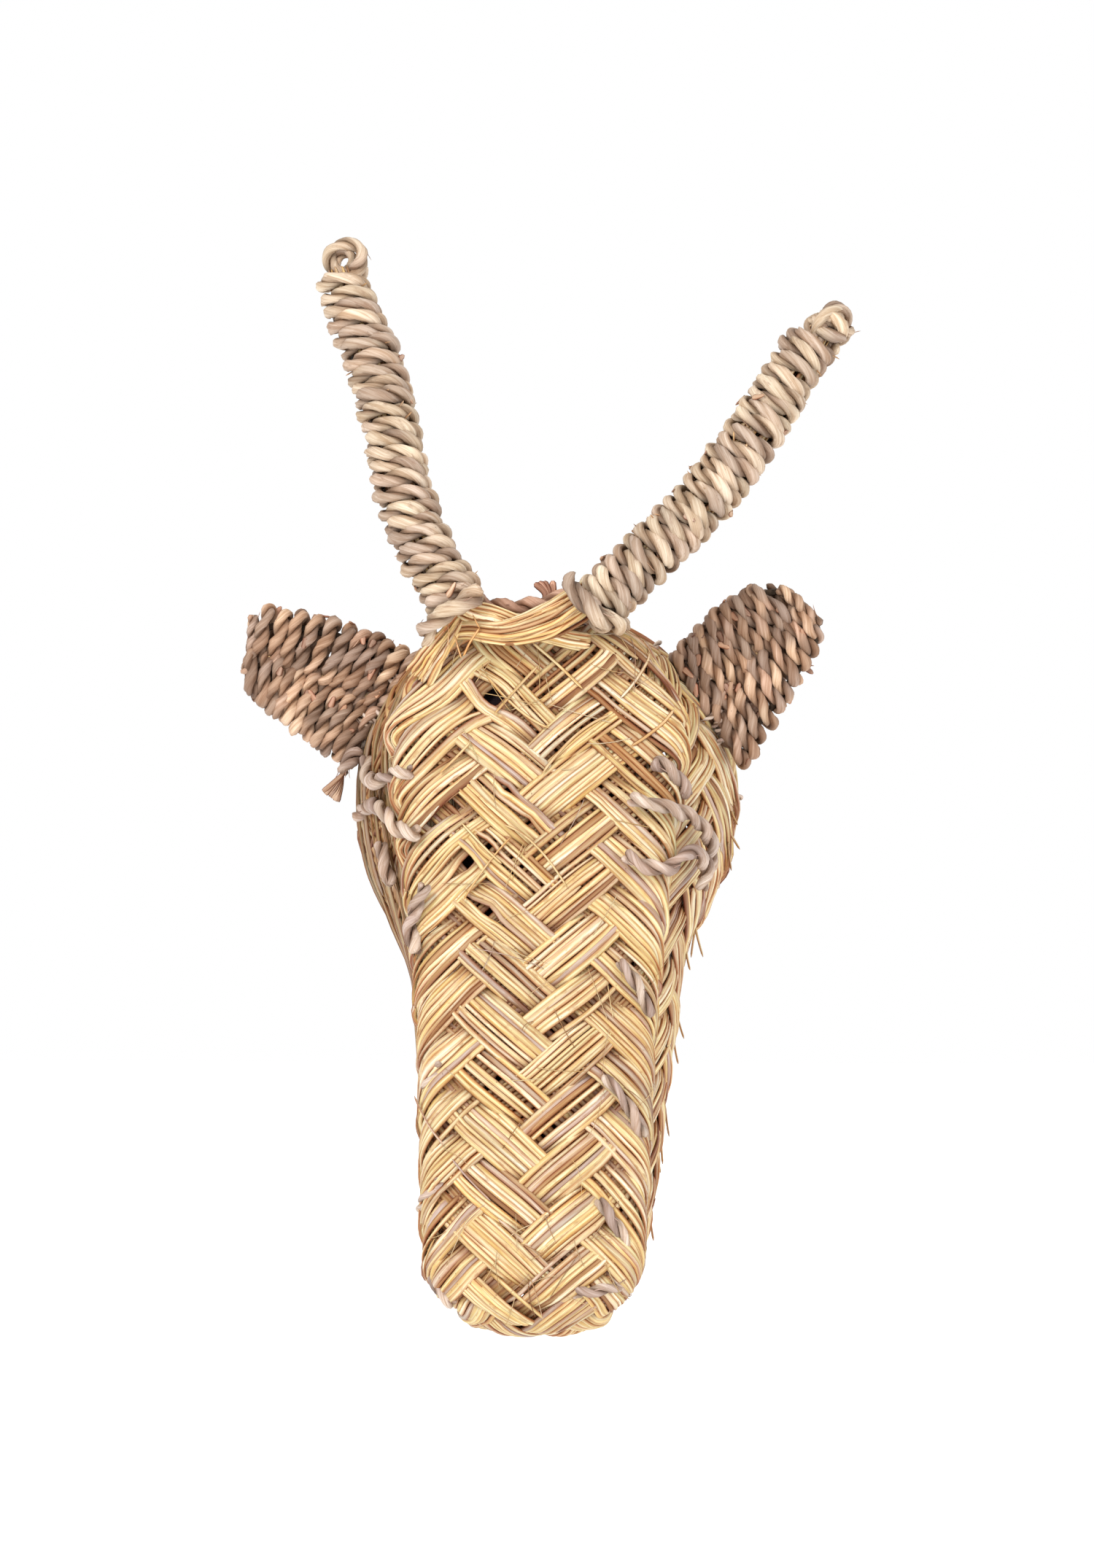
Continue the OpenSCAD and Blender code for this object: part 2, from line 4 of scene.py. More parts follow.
import bpy
import numpy as np
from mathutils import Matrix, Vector


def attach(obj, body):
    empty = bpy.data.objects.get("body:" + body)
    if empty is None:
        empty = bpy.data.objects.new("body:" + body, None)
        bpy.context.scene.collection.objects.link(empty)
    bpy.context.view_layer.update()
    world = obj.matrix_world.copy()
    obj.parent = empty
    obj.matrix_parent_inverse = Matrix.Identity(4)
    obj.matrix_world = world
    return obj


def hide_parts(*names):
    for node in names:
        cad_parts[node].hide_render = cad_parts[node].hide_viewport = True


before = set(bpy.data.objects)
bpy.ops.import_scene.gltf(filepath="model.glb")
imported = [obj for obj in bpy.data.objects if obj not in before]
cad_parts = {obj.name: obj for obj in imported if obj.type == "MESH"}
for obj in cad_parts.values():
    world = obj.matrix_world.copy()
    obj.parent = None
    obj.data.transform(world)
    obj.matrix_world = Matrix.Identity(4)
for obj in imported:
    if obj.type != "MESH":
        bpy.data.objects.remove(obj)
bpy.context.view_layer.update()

MM = 0.001


# ---- Camera and stage -----------------------------------------------------------------------
# The photograph's frame is 480 by 688 mm at the face's plane, seen from a little to +X
FRAME_H = 0.688
AIM = Vector((0.0016, -0.055, -0.0656))
CAM_AZ = math.radians(4.0)
CAM_DIST = 3.2
SENSOR = 36
cam_data = bpy.data.cameras.new("camera")
cam = bpy.data.objects.new("camera", cam_data)
bpy.context.scene.collection.objects.link(cam)
cam.location = AIM + CAM_DIST * Vector((math.sin(CAM_AZ), -math.cos(CAM_AZ), 0))
cam.rotation_euler = (AIM - cam.location).to_track_quat("-Z", "Y").to_euler()
cam_data.sensor_fit = "VERTICAL"
cam_data.sensor_height = SENSOR
cam_data.lens = SENSOR * CAM_DIST / FRAME_H
cam_data.clip_end = 50
bpy.context.scene.camera = cam
bpy.context.scene.view_settings.view_transform = "Standard"
bpy.context.scene.view_settings.look = "None"

world = bpy.data.worlds.new("studio")
bpy.context.scene.world = world
world.use_nodes = True
background = world.node_tree.nodes["Background"].inputs
background["Color"].default_value = (1, 1, 1, 1)
background["Strength"].default_value = 1.0

HEAD_MIDDLE = Vector((0, -0.05, -0.06))


def area_light(name, place, size, watts, colour):
    data = bpy.data.lights.new(name, "AREA")
    data.shape = "DISK"
    data.size = size
    data.energy = watts
    data.color = colour
    light = bpy.data.objects.new(name, data)
    bpy.context.scene.collection.objects.link(light)
    light.location = place
    light.rotation_euler = (HEAD_MIDDLE - Vector(place)).to_track_quat("-Z", "Y").to_euler()


area_light("key", (-0.9, -1.9, 1.3), 0.7, 34, (1, 0.985, 0.96))
area_light("fill", (1.3, -1.7, 0.2), 1.0, 10, (0.97, 0.98, 1))


# ---- Materials ------------------------------------------------------------------------------
def srgb(text):
    """A colour written as six hex digits, in linear light."""
    c = [int(text[i:i + 2], 16) / 255 for i in (0, 2, 4)]
    return np.array([x / 12.92 if x <= 0.04045 else ((x + 0.055) / 1.055) ** 2.4 for x in c])


class Nodes:
    """A short way to write a node tree."""

    def __init__(self, name):
        self.material = bpy.data.materials.new(name)
        self.material.use_nodes = True
        self.tree = self.material.node_tree
        self.shader = self.tree.nodes["Principled BSDF"]

    def add(self, kind, inputs=(), **settings):
        node = self.tree.nodes.new("ShaderNode" + kind)
        for key, value in settings.items():
            setattr(node, key, value)
        for key, value in dict(inputs).items():
            self.put(value, node.inputs[key])
        return node

    def put(self, value, socket):
        if isinstance(value, bpy.types.NodeSocket):
            self.tree.links.new(value, socket)
        elif socket.type == "RGBA":
            socket.default_value = (*value, 1) if len(value) == 3 else value
        else:
            socket.default_value = value

    def shade(self, **values):
        """Puts values on the shader's sockets, written with _ for a space."""
        for key, value in values.items():
            self.put(value, self.shader.inputs[key.replace("_", " ")])

    def bump(self, height, strength, depth):
        node = self.add("Bump", {"Height": height, "Strength": strength, "Distance": depth * MM})
        self.shade(Normal=node.outputs[0])

    def place(self):
        return self.add("TexCoord").outputs["Object"]

    def stretched(self, vector, scale):
        return self.add("VectorMath", {0: vector, 1: scale}, operation="MULTIPLY").outputs[0]

    def noise(self, vector, detail=3.0, roughness=0.55, scale=1.0):
        return self.add("TexNoise", {"Vector": vector, "Scale": scale, "Detail": detail,
                                     "Roughness": roughness}).outputs["Fac"]

    def span(self, value, low, high, to_low, to_high):
        return self.add("MapRange", {"Value": value, "From Min": low, "From Max": high,
                                     "To Min": to_low, "To Max": to_high}).outputs["Result"]

    def mix(self, factor, a, b, blend="MIX"):
        node = self.add("Mix", data_type="RGBA", blend_type=blend)
        self.put(factor, node.inputs["Factor"])
        self.put(a, node.inputs[6])
        self.put(b, node.inputs[7])
        return node.outputs[2]

    def maths(self, operation, a, b):
        return self.add("Math", {0: a, 1: b}, operation=operation).outputs[0]


def fibre_material(name, streak_dark, blotch, speck, shine, streak_scale, low, high, bump_mm):
    """Dry plant fibre. It reads two attributes of the mesh: tint, each blade's colour with painted
    shade in it, and grain, a place on the blade in millimetres whose third part runs along it."""
    n = Nodes(name)
    tint = n.add("Attribute", attribute_name="tint").outputs["Color"]
    grain = n.add("Attribute", attribute_name="grain").outputs["Vector"]
    broad = n.noise(n.stretched(grain, (streak_scale, streak_scale, 0.045)), 3)
    fine = n.noise(n.stretched(grain, (3.6 * streak_scale, 3.6 * streak_scale, 0.09)), 4, 0.65)
    lines = n.maths("ADD", n.maths("MULTIPLY", broad, 0.55), n.maths("MULTIPLY", fine, 0.45))
    streak = n.span(lines, 0.4, 0.62, 0.0, 1.0)
    darker = n.mix(1.0, tint, streak_dark, "MULTIPLY")
    colour = n.mix(streak, darker, tint)
    length = n.span(n.noise(n.stretched(grain, (0.02, 0.02, 0.03)), 2), 0.3, 0.7, low, high)
    grey = n.add("CombineColor", {0: length, 1: length, 2: length}).outputs[0]
    colour = n.mix(1.0, colour, grey, "MULTIPLY")
    spots = n.span(n.noise(n.stretched(grain, (0.3, 0.3, 0.14)), 4, 0.6), 0.6, 0.7, 0.0, 0.6)
    colour = n.mix(spots, colour, blotch)
    specks = n.span(n.noise(n.stretched(grain, (0.9, 0.9, 0.55)), 2), 0.7, 0.76, 0.0, 0.6)
    n.shade(Base_Color=n.mix(specks, colour, speck),
            Roughness=n.span(fine, 0.3, 0.7, shine, shine + 0.2), Specular_IOR_Level=0.35)
    n.bump(lines, 0.7, bump_mm)
    return n.material


STRAW = fibre_material("plaited_grass", srgb("DEBE90"), srgb("9A6A42"), srgb("5A3420"), 0.42,
                       0.75, 0.9, 1.05, 0.35)
ROPE = fibre_material("leaf_rope", srgb("C9B8A8"), srgb("8B6C58"), srgb("6A5648"), 0.55,
                      0.5, 0.86, 1.06, 0.5)


def cloth_material():
    n = Nodes("stuffing_cloth")
    place = n.place()
    wave = {"Scale": 1.0, "Distortion": 0.6, "Detail": 1.0}
    warp = n.add("TexWave", {**wave, "Vector": n.stretched(place, (420, 0, 0))}).outputs["Fac"]
    weft = n.add("TexWave", {**wave, "Vector": n.stretched(place, (0, 0, 420))},
                 bands_direction="Z").outputs["Fac"]
    weave = n.maths("MULTIPLY", warp, weft)
    worn = n.noise(n.stretched(place, (60, 60, 60)), 4)
    colour = n.mix(n.maths("MULTIPLY", weave, worn), srgb("1D1518"), srgb("4A3B3D"))
    n.shade(Base_Color=colour, Roughness=0.95, Specular_IOR_Level=0.1)
    n.bump(weave, 0.6, 0.4)
    return n.material


def wire_material():
    n = Nodes("annealed_wire")
    dull = n.noise(n.stretched(n.place(), (300, 300, 300)), 4)
    rust = n.mix(n.span(dull, 0.35, 0.7, 0.0, 1.0), srgb("33291F"), srgb("5C4A3C"))
    n.shade(Base_Color=rust, Metallic=0.8, Roughness=n.span(dull, 0.3, 0.7, 0.55, 0.8))
    return n.material


def cane_material():
    n = Nodes("split_cane")
    lines = n.noise(n.stretched(n.place(), (900, 900, 60)), 4)
    n.shade(Base_Color=n.mix(lines, srgb("B98D55"), srgb("E3C690")),
            Roughness=n.span(lines, 0.3, 0.7, 0.4, 0.65))
    return n.material


def floor_material():
    n = Nodes("studio_floor")
    soft = n.noise(n.stretched(n.place(), (3, 3, 3)), 2)
    n.shade(Base_Color=n.mix(soft, (0.93, 0.93, 0.93), (0.97, 0.97, 0.97)), Roughness=0.9,
            Emission_Color=(1, 1, 1, 1), Emission_Strength=0.25)
    return n.material


# ---- Curves and noise -----------------------------------------------------------------------
def unit(v):
    return v / np.maximum(np.linalg.norm(v, axis=-1, keepdims=True), 1e-9)


def wander(rng, t, scale, octaves=3):
    """Smooth noise of about unit size along t, which changes over the distance scale."""
    out = np.zeros_like(t)
    for i in range(octaves):
        f = 2 * np.pi / scale * (0.6 + 0.9 * i + 0.4 * rng.random())
        out += np.sin(f * t + rng.random() * 2 * np.pi) / (1 + i)
    return out * 0.75


def curve(points, step):
    """A smooth curve through the points, sampled about every step."""
    p = np.array(points, float)
    p = np.vstack([2 * p[0] - p[1], p, 2 * p[-1] - p[-2]])
    fine = []
    for i in range(1, len(p) - 2):
        t = np.linspace(0, 1, 24, endpoint=False)[:, None]
        a, b, c, d = p[i - 1], p[i], p[i + 1], p[i + 2]
        fine.append(0.5 * (2 * b + (c - a) * t + (2 * a - 5 * b + 4 * c - d) * t ** 2
                           + (3 * b - a - 3 * c + d) * t ** 3))
    fine = np.vstack(fine + [p[-2][None]])
    return resample(fine, step)


def run_of(path):
    return np.concatenate([[0], np.cumsum(np.linalg.norm(np.diff(path, axis=0), axis=1))])


def resample(path, step):
    s = run_of(path)
    n = max(int(round(s[-1] / step)), 2)
    at = np.linspace(0, s[-1], n + 1)
    return np.stack([np.interp(at, s, path[:, k]) for k in range(3)], 1)


def tangents(path):
    return unit(np.gradient(path, axis=0))


def lying(path, normal):
    """A blade's side and upper directions when it lies flat against the normals."""
    t = tangents(path)
    side = unit(np.cross(normal, t))
    return side, np.cross(t, side)


def rolled(side, up, angle):
    c, s = np.cos(angle), np.sin(angle)
    return side * c + up * s, up * c - side * s


def frames(path, up):
    """Side and normal directions along a path, carried along without twisting."""
    t = tangents(path)
    n = np.zeros_like(path)
    n[0] = unit(up - t[0] * np.dot(up, t[0]))
    for i in range(1, len(path)):
        v = n[i - 1] - t[i] * np.dot(n[i - 1], t[i])
        n[i] = v / max(np.linalg.norm(v), 1e-9)
    return np.cross(n, t), n


# ---- Meshes ---------------------------------------------------------------------------------
def blade_edge_shade(a):
    """Painted shade: a blade is darker and browner along its two edges, where it meets its
    neighbours.
    """
    edge = np.abs(np.cos(a))[:, None] ** np.array([2.6, 1.95, 1.8])
    return 1 - edge * (1 - np.array([0.41, 0.13, 0.05]))


def ply_inner_shade(a):
    """Painted shade: a ply is darker on its inner side, where it meets the other one."""
    inner = ((1 - np.sin(a)) / 2)[:, None]
    return 1 - inner * (1 - np.array([0.5, 0.4, 0.32]))


class Strands:
    """Gathers closed tubes, one for each blade or ply, into one mesh."""

    def __init__(self):
        self.co, self.faces, self.tint, self.grain, self.count = [], [], [], [], 0

    def tube(self, rng, path, side, normal, half_w, half_t, tint, sides=8, shape=None,
             ends=(0.3, 0.3), rim=blade_edge_shade):
        n = len(path)
        s = run_of(path)
        w = np.broadcast_to(half_w, n).astype(float).copy()
        h = np.broadcast_to(half_t, n).astype(float).copy()
        for k, e in ((0, ends[0]), (n - 1, ends[1])):
            w[k] *= e
            h[k] *= e
        a = 2 * np.pi * np.arange(sides) / sides
        rx = w[:, None] * np.cos(a)[None]
        ry = h[:, None] * np.sin(a)[None]
        if shape is not None:
            rx, ry = rx * shape, ry * shape
        co = path[:, None] + rx[..., None] * side[:, None] + ry[..., None] * normal[:, None]
        along = np.broadcast_to(s[:, None], rx.shape)
        grain = np.stack([rx, ry, along], -1) + rng.random(3) * 400
        i = np.arange(n - 1)[:, None] * sides
        k = np.arange(sides)[None]
        m = (k + 1) % sides
        quads = np.stack([i + k, i + m, i + m + sides, i + k + sides], -1).reshape(-1, 4)
        caps = []
        for c in range(sides // 2 - 1):
            q = [c, c + 1, sides - 2 - c, sides - 1 - c]
            caps.append(q[::-1])
            caps.append([(n - 1) * sides + x for x in q])
        self.faces.append(np.vstack([quads, np.array(caps)]) + self.count)
        self.co.append(co.reshape(-1, 3))
        self.grain.append(grain.reshape(-1, 3))
        colour = np.broadcast_to(np.asarray(tint, float).reshape(-1, 1, 3), (n, sides, 3))
        # painted shade: the rim function darkens the tint round each tube's section, at blade edges
        # and on a ply's inner side
        self.tint.append((colour * rim(a)).reshape(-1, 3))
        self.count += n * sides

    def make(self, name, node, slot="straw", body="head"):
        """Makes the piece, which takes the place of a CAD node."""
        mesh = bpy.data.meshes.new(name)
        co = np.vstack(self.co) * MM
        mesh.from_pydata(co.tolist(), [], np.vstack(self.faces).tolist())
        mesh.polygons.foreach_set("use_smooth", np.ones(len(mesh.polygons), bool))
        tint = np.ones((self.count, 4), np.float32)
        tint[:, :3] = np.vstack(self.tint)
        grain = np.vstack(self.grain).astype(np.float32)
        add = mesh.attributes.new
        add("tint", "FLOAT_COLOR", "POINT").data.foreach_set("color", tint.ravel())
        add("grain", "FLOAT_VECTOR", "POINT").data.foreach_set("vector", grain.ravel())
        mesh.materials.append(STRAW if slot == "straw" else ROPE)
        obj = bpy.data.objects.new(name, mesh)
        bpy.context.scene.collection.objects.link(obj)
        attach(obj, body)
        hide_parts(node)


# ---- Colours of single blades ---------------------------------------------------------------
def palette(text, gain=1.0):
    return [gain * srgb(c) for c in text.split()]


CREAM = palette("F0E4BC EEDDAA ECD8A0 F3EACC E8D4AA EFE0B2 EAD9AE F1E3B0")
MAUVE = palette("DAC6B0 CEBAA6 D8C2A2 C6B1A6")
BROWN = palette("C0A07A BC9466 A27850")
ROPE_TINTS = palette("E4D2BC DAC8B2 D0BDAB E8D9C2 C9B5A4 DDCCB4 C2AF9F")
EAR_TINTS = palette("CBAB96 B8987F DBBCA2 A48670 E6C9AD B39C8B 98806F C0A28D AE988A D2B298", 1.07)
TIE_TINTS = palette("BA9580 CEA892 A88470 E0C0AA")
CORD_TINTS = palette("DAC8BC CDB9AC C0ABA0 E2D2C4 B5A198")


def blade_tint(rng, shade=1.0):
    kind = rng.random()
    family = CREAM if kind < 0.78 else MAUVE if kind < 0.92 else BROWN
    return pick(rng, family, 0.07) * np.array([0.885, 0.985, 1.06]) * shade


def pick(rng, family, spread=0.06):
    return family[rng.integers(len(family))] * (1 + spread * rng.standard_normal())


# ---- Head surfaces --------------------------------------------------------------------------
# The head's outline, as in the CAD part
BROW_R, MUZZLE_R, CURL_R, FACE_CROWN = 14, 25, 10, 3
BROW_C, MUZZLE_C = np.array([-64, -4.5]), np.array([-101, -279.5])
FOLD_END = math.radians(332)
FACE_W = [(-300, 33), (-290, 42), (-272, 47), (-234, 49.3), (-180, 51), (-140, 54), (-110, 57.5),
          (-80, 61.5), (-55, 65.5), (-38, 66), (-22, 58), (-8, 49), (3, 42), (8, 38)]
SIDE_FRONT = [(44, -60, -6), (49, -66, -20), (57, -74, -45), (54, -80, -80), (49, -86, -112),
              (46, -93, -150), (43, -99, -190), (42, -106, -230), (40, -110, -260),
              (36, -106, -280), (28, -101, -292)]
SIDE_BACK = [(46, -14, -10), (61, -14, -27), (74, -14, -54), (76, -14, -82), (71, -14, -106),
             (61, -16, -126), (54, -24, -172), (49, -43, -215), (45, -56, -247),
             (39, -71, -272), (31, -92, -287)]
RIM_C, RIM_R = np.array([0, -5.2, -71.5]), 77.5

_d = MUZZLE_C - BROW_C
FACE_A = math.pi - math.atan(_d[0] / _d[1]) - math.asin((MUZZLE_R - BROW_R) / np.linalg.norm(_d))


def face_line():
    """The face's middle line, seen from the side: length, place, and the angle of its normal."""
    a1 = np.linspace(math.pi / 2, FACE_A, 12)
    brow = BROW_C + BROW_R * np.stack([np.cos(a1), np.sin(a1)], 1)
    a2 = np.linspace(FACE_A, FOLD_END, 40)
    muzzle = MUZZLE_C + MUZZLE_R * np.stack([np.cos(a2), np.sin(a2)], 1)
    t = np.linspace(0, 1, 60)[1:-1, None]
    straight = brow[-1] * (1 - t) + muzzle[0] * t
    p = np.vstack([brow, straight, muzzle])
    a = np.concatenate([a1, np.full(len(t), FACE_A), a2])
    s = np.concatenate([[0], np.cumsum(np.linalg.norm(np.diff(p, axis=0), axis=1))])
    return s, p, a


LINE_S, LINE_P, LINE_A = face_line()
FACE_L = LINE_S[-1]
_z, _w = np.array(FACE_W).T


def face_at(x, z):
    """The face band's outer side and its normal, by plait coordinates: x across, z up it."""
    v = -z
    vc = np.clip(v, 0, FACE_L)
    py, pz, a = (np.interp(vc, LINE_S, q) for q in (LINE_P[:, 0], LINE_P[:, 1], LINE_A))
    w = np.interp(pz, _z, _w)
    flat = w - CURL_R
    over = np.clip(4 + (60 - w) * 0.5, 4, 10)
    reach = flat + CURL_R * math.pi / 2 + over
    inner = 30.0 * np.minimum(1, w / 50)
    ax = np.abs(x)
    u = np.where(ax < 30, ax * inner / 30, inner + (ax - 30) * (reach - inner) / (70 - 30))
    theta = np.clip((u - flat) / CURL_R, 0, math.pi / 2)
    past = np.maximum(u - flat - CURL_R * math.pi / 2, 0)
    uf = np.minimum(u, flat)
    sx = np.where(u < flat, uf, flat + CURL_R * np.sin(theta))
    depth = FACE_CROWN * (uf / flat) ** 2 + CURL_R * (1 - np.cos(theta)) + past
    nx = np.where(u < flat, 2 * FACE_CROWN * uf / flat ** 2, np.sin(theta))
    nd = np.where(u < flat, 1, np.cos(theta))
    sign = np.sign(x)
    ca, sa = np.cos(a), np.sin(a)
    along = np.stack([np.zeros_like(x), -sa, ca], -1) * (v - vc)[..., None]
    pos = np.stack([sign * sx, py - depth * ca, pz - depth * sa], -1) + along
    return pos, unit(np.stack([sign * nx, nd * ca, nd * sa], -1))


class Sheet:
    """A surface through rows of points, by plait coordinates: x across, z up, in millimetres."""

    def __init__(self, grid, half, least=0.0, flip=False):
        self.g = grid
        d = np.gradient(grid, axis=0)
        e = np.gradient(grid, axis=1)
        self.n = unit(np.cross(d, e)) * (-1 if flip else 1)
        mid = grid[:, grid.shape[1] // 2]
        self.s = run_of(mid)
        width = np.sum(np.linalg.norm(np.diff(grid, axis=1), axis=2), axis=1) / 2
        self.w = np.maximum(width, least)
        self.real = width
        self.half = half

    def __call__(self, x, z):
        v = np.clip(-z, 0, self.s[-1])
        i = np.interp(v, self.s, np.arange(len(self.s)))
        w = np.interp(v, self.s, self.w)
        real = np.interp(v, self.s, self.real)
        u = np.clip(x / self.half * w / real, -1.15, 1.15)
        cols = self.g.shape[1] - 1
        j = np.clip((u + 1) / 2 * cols, 0, cols)
        i0 = np.clip(i.astype(int), 0, len(self.s) - 2)
        j0 = np.clip(j.astype(int), 0, cols - 1)
        fi, fj = (i - i0)[..., None], (j - j0)[..., None]

        def mixed(a):
            return ((a[i0, j0] * (1 - fj) + a[i0, j0 + 1] * fj) * (1 - fi)
                    + (a[i0 + 1, j0] * (1 - fj) + a[i0 + 1, j0 + 1] * fj) * fi)
        return mixed(self.g), unit(mixed(self.n))

    def inside(self, x, z):
        v = -z
        w = np.interp(v, self.s, self.w) / np.interp(v, self.s, self.real)
        return (v > -1) & (v < self.s[-1] + 1) & (np.abs(x / self.half * w) < 1.06)


def smooth(t):
    t = np.clip(t, 0, 1)
    return t * t * (3 - 2 * t)


def side_grid(sign):
    """A side band. Its back edge is drawn over the rim, the right one stands out further, and the
    left one is drawn in at the muzzle."""
    rows = 40
    f, b = (np.stack([np.interp(np.linspace(0, len(q) - 1, rows), np.arange(len(q)), q[:, k])
                      for k in range(3)], 1) for q in (curve(SIDE_FRONT, 8), curve(SIDE_BACK, 8)))
    b = b + smooth((b[:, 2] + 150) / 30)[:, None] * np.array([[6.5, 5.0, 0.0]])
    u = np.linspace(0, 1, 9)[None, :, None]
    grid = f[:, None] * (1 - u) + b[:, None] * u
    bulge = np.interp(-grid[:, 0, 2], [0, 120, 160, 290], [4, 4, 8.5, 6]) if sign > 0 else 4.0
    grid[..., 0] += np.broadcast_to(bulge, rows)[:, None] * 4 * (u * (1 - u))[..., 0]
    if sign < 0:
        grid[..., 0] -= 3.0 * smooth((-grid[..., 2] - 120) / 40)
    grid[..., 0] *= sign
    return grid if sign > 0 else grid[:, ::-1]


# ---- Plaiting -------------------------------------------------------------------------------
PITCH = 24.0                # from one strand to the next, along the band
SLOPE = 0.781               # how steeply the strands climb
THETA = math.atan(SLOPE)
COLUMN = PITCH / SLOPE
BOW = 20.0                  # how widely a strand turns back at the edges
TAIL, STEP = 9.0, 2.6       # a strand's ends past its turns, and the distance between its points


def plait(name, node, surface, inside, bottom, columns, blades, lift, half_w, half_t, loose, group,
          seed, shade):
    """A herringbone plait. Family A climbs to the right and family B falls to the right; each
    strand passes over one column and under the next, and turns back at the two edges."""
    rng = np.random.default_rng(seed)
    xc = (columns + 1.5) * PITCH / (2 * SLOPE)
    shift = COLUMN if columns == 2 else 0.0
    half = columns * COLUMN / 2
    gathered, made = Strands(), 0
    first = int(math.floor((bottom - SLOPE * xc) / PITCH)) - 1
    last = int(math.ceil(SLOPE * xc / PITCH)) + 1
    for k in range(last, first - 1, -1):
        for family, letter in ((1, "a"), (-1, "b")):
            centre = k * PITCH + (0 if family > 0 else PITCH / 2)
            made += plait_strand(rng, surface, inside, centre, family, xc, shift, half, blades,
                                 lift, half_w, half_t, loose, shade, gathered)
            if gathered.count and made >= group:
                gathered.make(f"{name}_{k - first:02d}{letter}", node)
                gathered, made = Strands(), 0
    if gathered.count:
        gathered.make(f"{name}_end", node)


# Openings in the face where the blades have been pushed apart: x, z and half the width
GAPS = ((-20, -45, 4.6), (-31, -118, 3.4), (-22, -111, 2.2), (-21, -139, 2.4), (-4, -100, 1.8),
        (-14, -86, 1.8))


def push_apart(bx, bz, nx, nz):
    """Moves a blade sideways, round the face's openings."""
    for gap_x, gap_z, size in GAPS:
        away = np.hypot(bx - gap_x, bz - gap_z)
        near = int(away.argmin())
        miss = (bx[near] - gap_x) * nx[near] + (bz[near] - gap_z) * nz[near]
        along = np.maximum(away ** 2 - miss ** 2, 0)
        push = size * math.exp(-abs(miss) / (1.4 * size)) * np.exp(-along / (2.2 * size) ** 2)
        push = push * (1 if miss >= 0 else -1)
        bx, bz = bx + nx * push, bz + nz * push
    return bx, bz


